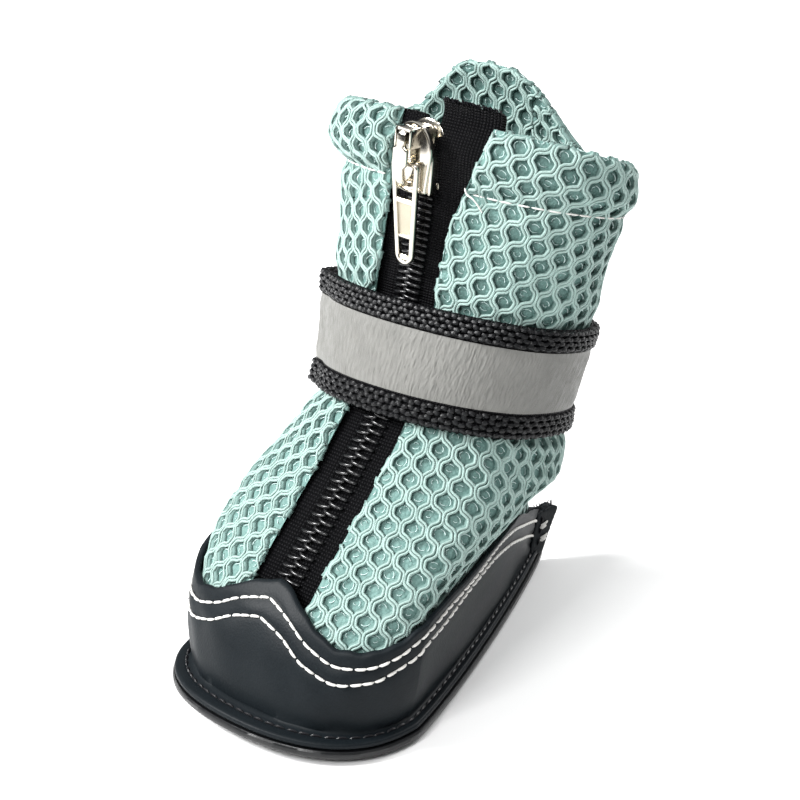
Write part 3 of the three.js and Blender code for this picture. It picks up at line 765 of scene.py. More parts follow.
@dataclass
class Upper:
    """The mesh upper: a net of zigzag yarns over a knit backing, folded at the zip and the collar.

    A point of the folded cloth has `a`, from 0 at the zip's edge to 1 at the heel, and `s`, the way
    up the outer face, over the collar and down the inside.
    """

    net_low: float = 9.0
    hem_low: float = 88.5
    fold: float = 1.6
    inside: float = 15.0
    yarn_gap: float = 2.4
    repeat: float = 5.6
    swing: float = 0.86
    row_slope: float = math.radians(-7)
    swing_square: float = 2.1
    steps: int = 13
    yarn: float = 0.27
    yarn_apart: float = 0.29
    wall_half: float = 0.56
    wall_depth: float = 0.78
    backing_depth: float = 1.2
    width: float = 68.0
    cloth: float = 2.0
    hem_cloth: float = 1.2

    def relief(self, angle: Array, height: Array) -> Array:
        """Swell of the outer face: the hem's roll, the waist at its seam, puffs beside the strap, creases.

        Args:
            angle: radians round the boot.
            height: up it.
        Returns:
            Millimetres out from the form.
        """
        left = smooth(-np.sin(angle) * 1.2)
        right = smooth(np.sin(angle) * 1.4 - 0.5)
        waist = -(0.9 + 0.6 * left - 0.5 * right) * np.exp(-(((height - self.hem_low - 0.8) / 1.6) ** 2))
        up_roll = clamp01((height - self.hem_low - 1) / 11.5)
        roll = (0.8 + 0.4 * left - 0.5 * right) * np.sin(np.pi * up_roll) ** 0.8
        roll = roll + 1.3 * right * np.exp(-(((height - 88.0) / 8.0) ** 2))
        puff = 0.4 * np.exp(-(((height - 45.7) / 2.6) ** 2)) + 0.5 * np.exp(-(((height - 72.7) / 2.8) ** 2))
        soft = 0.16 * np.sin(angle * 5.1 + height * 0.23) * np.sin(height * 0.31 - angle * 2.2)
        total = waist + roll + puff + soft + sum(c.at(angle, height) for c in CREASES)
        free = smooth((height - rand_top(angle) - 0.5) / 4)
        strap = smooth((height - 46.7) / 2.5) * smooth((71.2 - height) / 2.5)
        return total * free * (1 - strap) - 0.12 * strap

    def place(self, side: int, a: Array, s: Array, depth: Array = 0.0) -> Array:
        """Points of the folded cloth, `depth` under its face.

        The wall's half thickness closes as sqrt(1 - e^2) towards the zip's edge and turns over as
        cos(phi) round the collar, so that both edges are rounded.
        Args:
            side: +1 for the +X panel, -1 for the other.
            a: share of the way from the zip's edge to the heel.
            s: millimetres along the cloth.
            depth: millimetres in from the face.
        Returns:
            Points (..., 3).
        """
        a, s, depth = np.broadcast_arrays(a, s, depth)
        top = LAST.collar - self.fold
        length = math.pi * self.fold
        phi = clamp01((s - top) / length) * np.pi
        height = np.minimum(s, top) + self.fold * np.sin(phi) - np.maximum(s - top - length, 0)
        edge = LAST.zip_half + (LAST.flare(height) if side > 0 else 0.0)
        start = LAST.angle_at(side * edge, height)
        angle = start + (side * np.pi - start) * a
        face = self.relief(angle, height)
        back = -self.cloth - self.hem_cloth * smooth((height - self.hem_low) / 3)
        half = (face - back) / 2
        near = clamp01(1 - (a * self.width - depth * 0.6) / half)
        turn = np.sqrt(np.maximum(1 - near**2, 0))
        out = (face + back) / 2 + np.maximum(half - depth, 0.05) * turn * np.cos(phi)
        return LAST.surface(angle, height, out)

    @property
    def crest(self) -> float:
        """The place along the cloth of the top of its fold."""
        return LAST.collar - self.fold + math.pi * self.fold / 2

    def grid(self) -> tuple[Array, Array]:
        """The places (a, s) of the grid on which the outer face is flattened."""
        a = np.concatenate([[0, 0.5, 1.2, 2.2, 3.6], np.linspace(5.6, self.width, 30)]) / self.width
        top = LAST.collar - self.fold
        s = np.concatenate([np.linspace(self.net_low, top, 40)[:-1],
                            np.linspace(top, self.crest + 0.4, 5)])
        return a, s

    def flatten(self, points: Array, a: Array, s: Array, rounds: int = 3000, even: float = 0.012,
                gain: float = 1.4) -> Array:
        """Flat pattern of a face: the places in the plane that keep the distances between points.

        Starts from distances along rows and columns, then moves the two ends of every edge and
        diagonal together or apart by half of its error, averaged at each point, again and again. A
        small move of each point towards its neighbours' mean keeps the pattern from folding over.
        Args:
            points: (R, C, 3) on the cloth.
            a: places of the columns.
            s: places of the rows.
            rounds: how many times the errors are spread.
            even: share of the way to the neighbours' mean.
            gain: how far each move goes past the averaged error.
        Returns:
            Flat places (R, C, 2), with the shaft's rows along u.
        """
        across = np.cumsum(np.linalg.norm(np.diff(points, axis=1, prepend=points[:, :1]), axis=-1), axis=1)
        up = np.cumsum(np.linalg.norm(np.diff(points, axis=0, prepend=points[:1]), axis=-1), axis=0)
        level = np.broadcast_to(up.mean(1, keepdims=True), up.shape)
        flat = np.stack([across - across[:, -1:], level], -1)
        whole, low, high = slice(None), slice(None, -1), slice(1, None)
        links = [((whole, low), (whole, high)), ((low, whole), (high, whole)), ((low, low), (high, high)),
                 ((low, high), (high, low))]
        rest = [np.linalg.norm(points[end] - points[start], axis=-1) for start, end in links]
        weight = np.zeros((*points.shape[:2], 1))
        for start, end in links:
            weight[start] += 1
            weight[end] += 1
        near_a, near_s = 1 / np.diff(a), 1 / np.diff(s)
        left, right = near_a[:-1][None, :, None], near_a[1:][None, :, None]
        under, over = near_s[:-1][:, None, None], near_s[1:][:, None, None]
        for _ in range(rounds):
            move = np.zeros_like(flat)
            for (start, end), length in zip(links, rest):
                gap = flat[end] - flat[start]
                now = np.linalg.norm(gap, axis=-1)
                step = gap * (0.5 * (now - length) / np.maximum(now, 1e-6))[..., None]
                move[start] += step
                move[end] -= step
            flat = flat + move / weight * gain
            mean = (flat[:, :-2] * left + flat[:, 2:] * right) / (left + right)
            flat[:, 1:-1] += even * (mean - flat[:, 1:-1])
            mean = (flat[:-2] * under + flat[2:] * over) / (under + over)
            flat[1:-1] += even * (mean - flat[1:-1])
        shaft = flat[24:36, -6] - flat[24:36, 8]
        turn = math.atan2(*shaft.mean(0)[::-1])
        c, s = math.cos(-turn), math.sin(-turn)
        return flat @ np.array([[c, s], [-s, c]])

    def unflatten(self, flat: Array, places: Array) -> tuple[Array, Array, Array]:
        """Grid places of points of the flat pattern, by Newton steps on the bilinear map.

        Args:
            flat: (R, C, 2) of the grid.
            places: (N, 2) wanted.
        Returns:
            Row, column (real numbers) and whether each is on the cloth.
        """
        rows, columns = flat.shape[:2]
        near = np.concatenate([
            np.argmin(((part[:, None] - flat.reshape(1, -1, 2)) ** 2).sum(-1), axis=1)
            for part in np.array_split(places, max(1, len(places) // 1500))])
        i, j = (near // columns).astype(float), (near % columns).astype(float)
        for _ in range(9):
            r = np.clip(i.astype(int), 0, rows - 2)
            c = np.clip(j.astype(int), 0, columns - 2)
            y, x = (i - r)[:, None], (j - c)[:, None]
            p, q, u, v = flat[r, c], flat[r, c + 1], flat[r + 1, c], flat[r + 1, c + 1]
            here = p * (1 - y) * (1 - x) + q * (1 - y) * x + u * y * (1 - x) + v * y * x
            by_row = (u - p) * (1 - x) + (v - q) * x
            by_column = (q - p) * (1 - y) + (v - u) * y
            miss = places - here
            det = by_row[:, 0] * by_column[:, 1] - by_row[:, 1] * by_column[:, 0]
            det = np.where(np.abs(det) < 1e-6, 1e-6, det)
            di = (miss[:, 0] * by_column[:, 1] - miss[:, 1] * by_column[:, 0]) / det
            dj = (by_row[:, 0] * miss[:, 1] - by_row[:, 1] * miss[:, 0]) / det
            i = np.clip(i + np.clip(di, -2, 2), -1, rows)
            j = np.clip(j + np.clip(dj, -2, 2), -1, columns)
        inside = (i >= 0) & (i <= rows - 1) & (j >= 0) & (j <= columns - 1)
        return i, j, inside & (np.linalg.norm(miss, axis=1) < 0.2)

    def panel(self, side: int) -> dict[str, Shape]:
        """Net, walls and filaments of one panel.

        A yarn's flat path is its own line plus swing * tanh(q cos) / tanh(q) of the way along it,
        where q is swing_square, with its neighbours in opposite phase, so that each meets one
        neighbour and then the other.
        Args:
            side: +1 for the +X panel, -1 for the other.
        Returns:
            The shapes by name.
        """
        a, s = self.grid()
        flat = self.flatten(self.place(side, a[None, :], s[:, None]), a, s)
        row = np.array([math.cos(self.row_slope), math.sin(self.row_slope)])
        way = np.array([-row[1], row[0]])
        low_n, high_n = (flat @ row).min(), (flat @ row).max()
        low_w, high_w = (flat @ way).min(), (flat @ way).max()
        lines = np.arange(math.floor(low_n / self.yarn_gap), math.ceil(high_n / self.yarn_gap) + 1)
        t = np.arange(low_w, high_w, self.repeat / self.steps)
        phase = 2 * np.pi * t / self.repeat
        sway = np.tanh(self.swing_square * np.cos(phase)) / math.tanh(self.swing_square)
        sign = np.where(lines % 2 == 0, 1.0, -1.0)
        across = lines[:, None] * self.yarn_gap + sign[:, None] * self.swing * sway[None, :]
        across = across + 0.10 * np.sin(lines[:, None] * 1.7 + t[None, :] * 0.55)
        centre = across[..., None] * row + t[None, :, None] * way

        def on_cloth(places: Array, depth: Array | float) -> tuple[Array, Array, Array]:
            """Points, outward directions and which are on the cloth, for flat places (S, K, 2).

            The first S paths lie on the outer face and the next S are their images inside the fold.
            Args:
                places: in the flat pattern.
                depth: millimetres under the face.
            Returns:
                Points and directions (2 S, K, 3), and (2 S, K) of truth values.
            """
            i, j, on = self.unflatten(flat, places.reshape(-1, 2))
            at_s = np.interp(i, np.arange(len(s)), s).reshape(places.shape[:2])
            at_a = np.interp(j, np.arange(len(a)), a).reshape(places.shape[:2])
            on = on.reshape(places.shape[:2])
            on = np.concatenate([on, on & (at_s > self.crest - self.inside)])
            at_s = np.concatenate([at_s, 2 * self.crest - at_s])
            at_a = np.concatenate([at_a, at_a])
            depth = np.broadcast_to(depth, places.shape[:2])
            depth = np.concatenate([depth, depth])
            points = self.place(side, at_a, at_s, depth)
            deep = self.place(side, at_a, at_s, depth + 0.25)
            return points, unit(points - deep + 1e-9), on

        slope = unit(np.gradient(centre, axis=1))
        beside = np.stack([-slope[..., 1], slope[..., 0]], -1)
        twist = np.cos(phase[None, :] + lines[:, None])
        fibres = []
        for k in (-1, 1):
            points, normals, on = on_cloth(centre + beside * k * self.yarn_apart, 0.12 + 0.06 * k * twist)
            fibres.append(tubes(points, normals, self.yarn, sides=5, flat=0.75, valid=on))
        points, normals, on = on_cloth(centre, self.wall_depth)
        wall = tubes(points, normals, self.wall_half, sides=4, flat=1.15, valid=on)
        gaps = (lines[:, None] + 0.5) * self.yarn_gap
        beat = np.arange(math.floor(low_w / self.repeat), math.ceil(high_w / self.repeat))
        middle = (beat[None, :] + np.where(lines % 2 == 0, 0.5, 0.0)[:, None]) * self.repeat
        holes = gaps[..., None] * row + middle[..., None] * way
        holes = holes.reshape(-1, 1, 2)
        threads = []
        number = np.arange(len(holes))
        for k in range(2):
            begin = np.pi * k + 0.9 * np.sin(number * 2.1 + k * 1.3)
            turn = begin[:, None] + np.linspace(0, 1.9, 6)[None, :]
            size = 0.85 + 0.25 * np.cos(number * 1.3 + k)[:, None]
            path = holes + (size * np.cos(turn))[..., None] * row
            path = path + (0.8 * size * np.sin(turn))[..., None] * way
            depth = np.linspace(0.55, 1.05, 6)[None, :]
            points, normals, on = on_cloth(path, depth)
            threads.append(tubes(points, normals, 0.07, sides=3, valid=on & on.all(1, keepdims=True)))
        return {"net": Shape.joined(fibres), "wall": wall, "filaments": Shape.joined(threads)}

    def backing(self) -> Shape:
        """The closed knit layer under the net: both panels' outer faces, over the fold, and inside."""
        top = LAST.collar - self.fold
        over = top + math.pi * self.fold
        s = np.concatenate([np.linspace(LAST.upper_low, top, 90), np.linspace(top, over, 9)[1:],
                            np.linspace(over, over + top - LAST.upper_low, 80)[1:]])
        a = np.concatenate([[0, 0.4, 1.0, 1.8], np.linspace(2.8, self.width, 60)]) / self.width
        right = self.place(1, a[None, :], s[:, None], self.depth_at(s)[:, None])
        left = self.place(-1, a[None, :-1], s[:, None], self.depth_at(s)[:, None])
        points = np.concatenate([right, left[:, ::-1]], 1)
        rows, columns = points.shape[:2]
        faces = [grid_faces(rows, columns)]
        number = np.arange(rows * columns).reshape(rows, columns)
        low = np.stack([number[0, :-1], number[0, 1:], number[-1, 1:], number[-1, :-1]], -1)
        half = rows // 2
        rims = [low[:, ::-1]]
        for column, flip in ((0, False), (-1, True)):
            edge = np.stack([number[:half - 1, column], number[1:half, column],
                             number[::-1][1:half, column], number[::-1][:half - 1, column]], -1)
            rims.append(edge[:, ::-1] if flip else edge)
        shape = Shape(points.reshape(-1, 3), faces + rims)
        return shape.outward()

    def depth_at(self, s: Array) -> Array:
        """The backing lies this far under the face: deep where the net covers it, shallow below that."""
        return self.backing_depth - 0.9 * smooth((s - self.crest - self.inside) / 3)

    def seam(self) -> Shape:
        """The hem's row of stitches round both panels, and the loose thread end beside the zip."""
        a = np.linspace(0.02, 1, 260)
        seam = self.hem_low + 0.8
        made = []
        for side in (1, -1):
            path = self.place(side, a, seam)
            outside = unit(path - self.place(side, a, seam, 0.3))
            made.append(stitches(path, outside, pitch=2.7, length=2.3, radius=0.16))
        t = np.linspace(0, 1, 24)
        start = self.place(1, 0.05, self.hem_low - 1.0)
        rise = -0.6 + 4.2 * t + 0.7 * np.sin(t * 5)
        loose = (start + np.stack([1.2 - 3.6 * t, -0.5 - 0.9 * np.sin(t * 2.8), rise], -1))[None]
        made.append(tubes(loose, facing((0, -1, 0), loose), 0.15, sides=6, taper=True))
        return Shape.joined(made)

    def build(self) -> None:
        """Makes the backing, the net of both panels and the hem's seam."""
        self.backing().dress("upper_backing", BACKING, nodes=("upper",), slot="air_mesh", sharp=80)
        for side, name in ((1, "right"), (-1, "left")):
            parts = self.panel(side)
            # the walls take the darker wall finish, which is painted shade inside the holes
            for part, finish in (("net", NET), ("wall", SHADED_NET_WALL), ("filaments", SPACER)):
                parts[part].dress(f"upper_{part}_{name}", finish, slot="air_mesh", sharp=180)
        self.seam().dress("hem_stitching", WHITE_THREAD, slot="air_mesh")


# ---- rand -----------------------------------------------------------------------------------
@dataclass
class Rand:
    """The rand: wall, flange and the fin where its two ends are sewn together at the heel."""

    inner: float = 0.3
    outer: float = 1.4
    low: float = 2.6
    flange_top: float = 3.7
    rows_below: tuple[float, float] = (2.5, 5.3)
    fin_top: float = 11.4
    fin_reach: float = 46.3
    around: int = 300

    def wall_out(self, angle: Array, below: Array) -> Array:
        """Outer face, with the dents of the two stitch rows and slow unevenness.

        Args:
            angle: radians round the boot.
            below: millimetres under the top edge.
        Returns:
            Millimetres out from the form.
        """
        dents = sum(np.exp(-(((below - row) / 0.45) ** 2)) for row in self.rows_below)
        uneven = 0.13 * np.sin(angle * 7 + below * 0.4) + 0.08 * np.sin(angle * 17 - below * 0.9)
        return self.outer - 0.2 * dents + uneven * smooth(below / 3)

    def wall(self) -> Shape:
        """Closed ring: up the inside, over the top edge, down the outside and out along the flange."""
        angle = turns(self.around)
        top = rand_top(angle) + 0.22 * np.sin(angle * 23) * np.sin(angle * 5 + 1)
        loops = []
        for v in np.linspace(0, 1, 6):
            height = self.low + (top - 0.4 - self.low) * v
            loops.append(LAST.surface(angle, height, self.inner))
        for share in (0.25, 0.6, 0.85):
            crown = top - 0.12 + 0.12 * math.sin(share * math.pi)
            loops.append(LAST.surface(angle, crown, self.inner + (self.outer - self.inner) * share))
        foot = self.flange_top + 0.9
        reach = top - foot
        for below in (0.35, 0.8, 1.5, 2.1, 2.5, 2.9, 3.6, 4.3, 4.9, 5.3, 5.7, 6.4):
            down = np.minimum(below, reach - 0.3 + 0.04 * below)
            loops.append(LAST.surface(angle, top - down, self.wall_out(angle, np.full_like(angle, below))))
        last_down = np.minimum(6.4, reach - 0.3 + 0.26)
        for v in np.linspace(0, 1, 8)[1:]:
            height = top - last_down + (foot - top + last_down) * v
            loops.append(LAST.surface(angle, height, self.wall_out(angle, 7 + 4 * v)))
        base = LAST.surface(angle, self.flange_top, self.outer)
        edge = LAST.sole_edge(angle, 0.0, self.flange_top)
        for share, lift in ((0.05, 0.32), (0.14, 0.08), (0.24, 0.02), (0.32, -0.05), (0.4, -0.16),
                            (0.48, -0.05), (0.58, 0.0), (0.85, 0.0), (0.97, -0.03)):
            ring = base + (edge - base) * share
            ring[:, 2] = edge[:, 2] + lift
            loops.append(ring)
        loops.append(LAST.sole_edge(angle, 0.12, self.flange_top - 0.3))
        loops.append(LAST.sole_edge(angle, 0.12, self.low + 0.25))
        loops.append(LAST.sole_edge(angle, -0.1, self.low))
        points = np.stack(loops)
        rows, columns = points.shape[:2]
        return Shape(points.reshape(-1, 3), [grid_faces(rows, columns, True, True)]).outward()

    def fin_outline(self) -> Array:
        """Outline (N, 2) of the fin in y and z, with more points along its long edges."""
        levels = (self.low, 8.0, self.fin_top)
        foot, middle, top = (float(LAST.surface(np.pi, z, self.outer)[1]) - 1.6 for z in levels)
        sole, reach = SOLE_EDGE["back"], self.fin_reach
        corners = np.array([
            (foot, self.low), (sole, self.low), (sole + 0.6, self.flange_top), (reach, self.fin_top - 0.7),
            (reach - 0.5, self.fin_top - 0.1), (reach - 1.6, self.fin_top + 0.1), (top, self.fin_top),
            (middle, levels[1])])
        closed = np.concatenate([corners, corners[:1]])
        run = distances(closed)
        at = np.linspace(0, run[-1], 72, endpoint=False)
        line = sampled(closed, run, at)
        ragged = 0.1 * np.sin(at * 5.3) * (line[:, 1] > 6)
        return line + ragged[:, None] * unit(line - line.mean(0))

    def fin(self) -> Shape:
        """Two layers of the sheet pressed together, a little open at the free end."""
        outline = self.fin_outline()
        middle = outline.mean(0)
        layers = []
        for side in (-1, 1):
            loops = []
            for x, share in ((0.04, 0.985), (0.16, 1.0), (0.85, 1.0), (1.02, 0.99), (1.1, 0.96), (1.12, 0.8)):
                flat = middle + (outline - middle) * share
                spread = 0.35 * clamp01((flat[:, 0] - 43.5) / 3) ** 2
                loops.append(np.stack([side * (x + spread), flat[:, 0], flat[:, 1]], -1))
            layers.append(stack(np.stack(loops)))
        return Shape.joined(layers)

    def rows(self) -> Shape:
        """The two rows of white stitches, and where they cross the fin in thick knots."""
        angle = np.linspace(-np.pi + 0.05, np.pi - 0.05, 700)
        made = []
        for below in self.rows_below:
            depth = np.minimum(below, rand_top(angle) - self.flange_top - 1.2)
            height = rand_top(angle) - depth
            face = self.wall_out(angle, np.full_like(angle, below)) + 0.16
            path = LAST.surface(angle, height, face)
            made.append(stitches(path, LAST.normal(angle, height, face), 2.15, 1.95, 0.25))
        for drop in (3.2, 5.9):
            for side in (-1, 1):
                y = np.linspace(41.2, 45.6 - drop * 0.42, 30)
                z = self.fin_top - drop + (y - 41.2) * 0.12
                path = np.stack([np.full(30, side * 1.28), y, z], -1)
                out = facing((side, 0.0, 0.0), path)
                made.append(stitches(path, out, 1.7, 1.55, 0.36))
                made.append(stitches(path + [0, 0.2, 0.45], out, 2.3, 2.0, 0.22))
        return Shape.joined(made)

    def flange_row(self) -> Shape:
        """The black stitches along the flange, which run on up the foot of the fin."""
        angle = np.linspace(-np.pi + 0.045, np.pi - 0.045, 700)
        base = LAST.surface(angle, self.flange_top, self.outer)
        edge = LAST.sole_edge(angle, 0.0, self.flange_top)
        path = base + (edge - base) * 0.4
        path[:, 2] = edge[:, 2] - 0.03
        made = [stitches(path, facing((0.0, 0.0, 1.0), path), 2.2, 1.85, 0.25)]
        for side in (-1, 1):
            t = np.linspace(0, 1, 40)
            rise = np.stack([np.full(40, side * 1.2), 40.6 + 1.4 * t, 4.6 + 6.6 * t], -1)
            made.append(stitches(rise, facing((side, 0.0, 0.0), rise), 1.7, 1.5, 0.2))
        return Shape.joined(made)

    def frayed(self) -> Shape:
        """Cut yarns that stick out of the fin's raw end."""
        k = np.arange(26)
        t = np.linspace(0, 1, 6)
        x0 = np.sin(k * 2.7) * 0.9
        y0 = 41.5 + 4.2 * ((k * 0.618) % 1)
        lean = np.cos(k * 1.9) * 0.5
        length = 0.5 + 0.5 * ((k * 0.37) % 1)
        path = np.stack([x0[:, None] + lean[:, None] * t, y0[:, None] + np.sin(k * 3.3)[:, None] * 0.5 * t,
                         self.fin_top - 0.3 + length[:, None] * t], -1)
        return tubes(path, facing((0.0, 1.0, 0.0), path), 0.09, sides=4, taper=True)

    def build(self) -> None:
        """Makes the wall with the fin, and the three kinds of thread."""
        body = Shape.joined([self.wall(), self.fin()])
        body.dress("rand_body", RAND, nodes=("rand",), slot="rand_sheet", sharp=60)
        self.rows().dress("rand_white_stitches", WHITE_THREAD, slot="rand_sheet")
        self.flange_row().dress("rand_black_stitches", BLACK_THREAD, slot="rand_sheet")
        self.frayed().dress("rand_frayed_yarns", BLACK_THREAD, slot="rand_sheet")


# ---- sole -----------------------------------------------------------------------------------
@dataclass
class Sole:
    """The outsole with its lugs, and the felt insole."""

    top: float = 2.3
    lug: float = 0.8
    inset: float = 3.2
    first: float = -34.15
    pitch: float = 6.4
    width: float = 4.2
    count: int = 9
    around: int = 240
    overhang: float = 0.3

    def half_at(self, y: Array) -> Array:
        """Half width of the outsole: half (1 - q^along)^(1/across), q the share of the way to its end.

        Args:
            y: along the boot.
        Returns:
            Millimetres from the centre line.
        """
        ring = LAST.grow(SOLE_EDGE, self.overhang)
        ahead = y < ring["widest"]
        across = np.where(ahead, ring["toe"], ring["tip"])
        along = np.where(ahead, ring["toe"], ring["heel"])
        q = np.abs((y - ring["widest"]) / (np.where(ahead, ring["front"], ring["back"]) - ring["widest"]))
        return ring["half"] * np.maximum(0, 1 - q**along) ** (1 / across)

    def lug_height(self, x: Array, y: Array) -> Array:
        """1 on a lug and 0 between lugs, with short slopes and fine cross grooves.

        Args:
            x: across the sole.
            y: along it.
        Returns:
            From 0 to 1.
        """
        into = np.mod(y - self.first, self.pitch)
        span = (y > self.first) & (y < self.first + self.count * self.pitch)
        bar = smooth(into / 0.5) * smooth((self.width + 0.5 - into) / 0.5) * span
        side = smooth((self.half_at(y) - self.inset - np.abs(x)) / 0.5 + 1)
        groove = 1 - 0.3 * smooth(1 - np.abs(np.mod(x + 2.5, 5.0) - 2.5) / 0.35)
        return bar * side * groove

    def outsole(self) -> Shape:
        """Loops from the middle of the underside out to the edge and back over the top."""
        angle = turns(self.around)
        loops = []
        edge = LAST.sole_edge(angle, self.overhang, 0.0)
        centre = np.array([0.0, -6.0, 0.0])
        for share in (0.01, *np.linspace(0.04, 0.985, 70)):
            ring = centre + (edge - centre) * share
            base = self.lug * (1 - self.lug_height(ring[:, 0], ring[:, 1]))
            loops.append(np.stack([ring[:, 0], ring[:, 1], base + LAST.spring(ring[:, 1])], -1))
        wave = 0.12 * np.sin(angle * 9) * np.sin(angle * 4 + 0.7)
        for out, z in ((0.25, self.lug), (0.48, self.lug + 0.3), (0.5, self.top - 0.35 + wave * 0.3),
                       (0.25, self.top), (-1.0, self.top)):
            loops.append(LAST.sole_edge(angle, out, z))
        ring = LAST.sole_edge(angle, 0.0, self.top)
        loops.append(np.stack([ring[:, 0] * 0.3, ring[:, 1] * 0.3, np.full(len(angle), self.top)], -1))
        return stack(np.stack(loops))

    def insole(self) -> Shape:
        """A felt pad that follows the inside of the upper, a little higher at its edge."""
        angle = turns(120)
        loops = []
        for share, height in ((0.1, 2.6), (0.99, 2.6), (1.0, 3.0), (1.0, 4.0), (0.97, 4.25), (0.8, 4.15),
                              (0.5, 4.05), (0.1, 4.05)):
            ring = LAST.surface(angle, np.minimum(height, 4.2), -2.3)
            loops.append(np.stack([ring[:, 0] * share, (ring[:, 1] + 2) * share - 2,
                                   height + LAST.spring(ring[:, 1])], -1))
        return stack(np.stack(loops))

    def build(self) -> None:
        """Makes both layers."""
        self.outsole().dress("outsole_body", RUBBER, nodes=("outsole",), slot="sole_rubber", sharp=40)
        self.insole().dress("insole_pad", FELT, nodes=("insole",), slot="insole_felt")


# ---- zip ------------------------------------------------------------------------------------
@dataclass
class Zip:
    """The zip: two woven tapes, the coil, and the slider with its pull."""

    low: float = 17.0
    tape_face: float = -1.9
    tape_back: float = -3.2
    tape_edge: float = 11.4
    top_left: float = 101.0
    top_right: float = 104.0
    coil_half: float = 2.75
    core_half: float = 3.05
    tooth: float = 0.34
    pitch: float = 1.2
    tuck_start: float = 98.0
    slider_low: float = 88.5
    slider_centre: float = 94.5
    plate_half: float = 4.1
    bridge_half: float = 0.42
    pull_length: float = 16.35
    pull_end: float = 1.5
    pull_drop: tuple[float, float] = (-3.6, -0.9)
    pull_rest: float = 0.105

    def inner_edge(self, height: Array) -> Array:
        """The tape's inner edge, which runs in between the slider's plates."""
        return 2.95 - 1.35 * smooth((height - self.slider_low + 2) / 2.5)

    def tape(self, side: int) -> Shape:
        """One tape: its section is a flat loop, with small ribs across it, carried up the zip.

        Args:
            side: +1 for the wider +X tape, -1 for the other.
        Returns:
            The closed tape.
        """
        top = self.top_right if side > 0 else self.top_left
        height = np.linspace(self.low, top, 170)[:, None]
        share = np.linspace(0, 1, 22)
        flare = LAST.flare(height) if side > 0 else 0.0
        past = self.tape_edge - LAST.zip_half - 0.2
        tuck = past * smooth((height - self.tuck_start) / 3) if side > 0 else 0.0
        inner, outer = self.inner_edge(height), self.tape_edge + flare - tuck
        x = inner + (outer - inner) * share[None, :]
        ragged = 0.35 * np.sin(share * 61) * smooth((height - top + 4) / 4)
        crown = 0.22 * np.sin(np.pi * share) ** 0.5
        thin = smooth((height - self.slider_low + 2) / 2.5) * (x < 5.2)
        face, back = self.tape_face - 0.35 + crown, self.tape_back + 0.05 + 0.45 * thin
        ripple = 0.05 * np.sin(x * 6.5)
        rim = smooth((height - LAST.collar + 3) / 5)
        level = height + ragged * 0.6
        front = LAST.front_at(side * x, level, face[None, :] + ripple + 0.2 * rim)
        loops = np.concatenate([front, LAST.front_at(side * x, level, back)[:, ::-1]], 1)
        uv = np.stack(np.broadcast_arrays(np.concatenate([x, x[:, ::-1]], 1), height), -1)
        return stack(loops, uv)

    def stubble(self) -> Shape:
        """Cut warp ends along the raw top of the wider tape."""
        k = np.arange(70)
        x = self.inner_edge(np.array(self.top_right)) + 11.3 * (k + 0.5 * np.sin(k * 2.3)) / 70
        t = np.linspace(-0.4, 1, 5)
        rise = (0.7 + 0.6 * np.abs(np.sin(k * 1.7)))[:, None] * t
        level = self.top_right - 0.3 + rise
        out = self.tape_face - 0.6 + 0.4 * np.sin(k * 4.1)[:, None] + 0.35 * np.cos(k)[:, None] * t
        spot = x[:, None] + 0.5 * np.sin(k * 3.1)[:, None] * t
        path = LAST.front_at(spot, level, out)
        return tubes(path, facing((0.0, -1.0, 0.0), path), 0.17, sides=4, taper=True)

    def coil(self) -> Shape:
        """Half turns of two coils, in turn from either side; each arches over and hooks past the middle."""
        height = np.arange(self.low + 4, self.slider_low - 0.2, self.pitch / 2)
        side = np.where(np.arange(len(height)) % 2 == 0, 1.0, -1.0)
        turn = np.linspace(0, 1, 11)
        x = side[:, None] * (self.coil_half - (self.coil_half + 0.35) * smooth(turn * 1.05))
        out = self.tape_face - 0.55 + 1.35 * np.sin(np.pi * clamp01(turn * 0.72 + 0.08)) ** 0.8
        level = height[:, None] + 0.55 * (turn - 0.5)
        angle = LAST.angle_at(x, level, out)
        path, normals = LAST.surface(angle, level, out), LAST.normal(angle, level, out)
        return tubes(path, normals, self.tooth, sides=6, flat=0.85, taper=True)

    def cord(self) -> Shape:
        """The dark core under the coil that closes the gap between the tapes."""
        height = np.linspace(self.low + 1, self.slider_low, 90)[:, None]
        turn = turns(14)[None, :]
        x, out = self.core_half * np.cos(turn), self.tape_back + 0.65 + 0.55 * np.sin(turn)
        uv = np.stack(np.broadcast_arrays(x, height), -1)
        return stack(LAST.front_at(x, height, out), uv)

    def frame(self) -> tuple[Array, Array]:
        """Slider frame: its origin and a matrix whose columns are across, into the boot and up the zip."""
        low, high = LAST.surface(0.0, 84.0, -1.15), LAST.surface(0.0, 99.0, -1.15)
        lean = -math.atan2(high[1] - low[1], high[2] - low[2])
        return LAST.surface(0.0, self.slider_centre, -1.35), tilt(lean)

    def on_slider(self, shape: Shape) -> Shape:
        """The shape moved from the slider frame to the boot."""
        origin, turn = self.frame()
        return Shape(shape.points @ turn.T + origin, shape.faces, shape.uv)

    def on_pull(self, shape: Shape) -> Shape:
        """The shape moved from the pull's frame, at its crossbar, to the boot."""
        drop = np.array([0.0, *self.pull_drop])
        return self.on_slider(Shape(shape.points @ tilt(self.pull_rest).T + drop, shape.faces, shape.uv))

    def shield(self, half: float, low: float, high: float) -> Array:
        """Outline of a slider plate: square foot, straight sides and a pointed arch above.

        Args:
            half: its half width.
            low: height of its foot's corners.
            high: height of its tip.
        Returns:
            Points (N, 2) in x and z.
        """
        turn, arch_rise = np.linspace(0, np.pi, 40), 5.2
        arch = np.stack([half * np.cos(turn), high - arch_rise + arch_rise * np.sin(turn) ** 0.85], -1)
        bow = np.sin(np.linspace(0, np.pi, 14))
        foot = np.stack([np.linspace(-half, half, 14), low - 0.7 * bow + 0.4], -1)
        return np.concatenate([arch, foot[1:-1]])

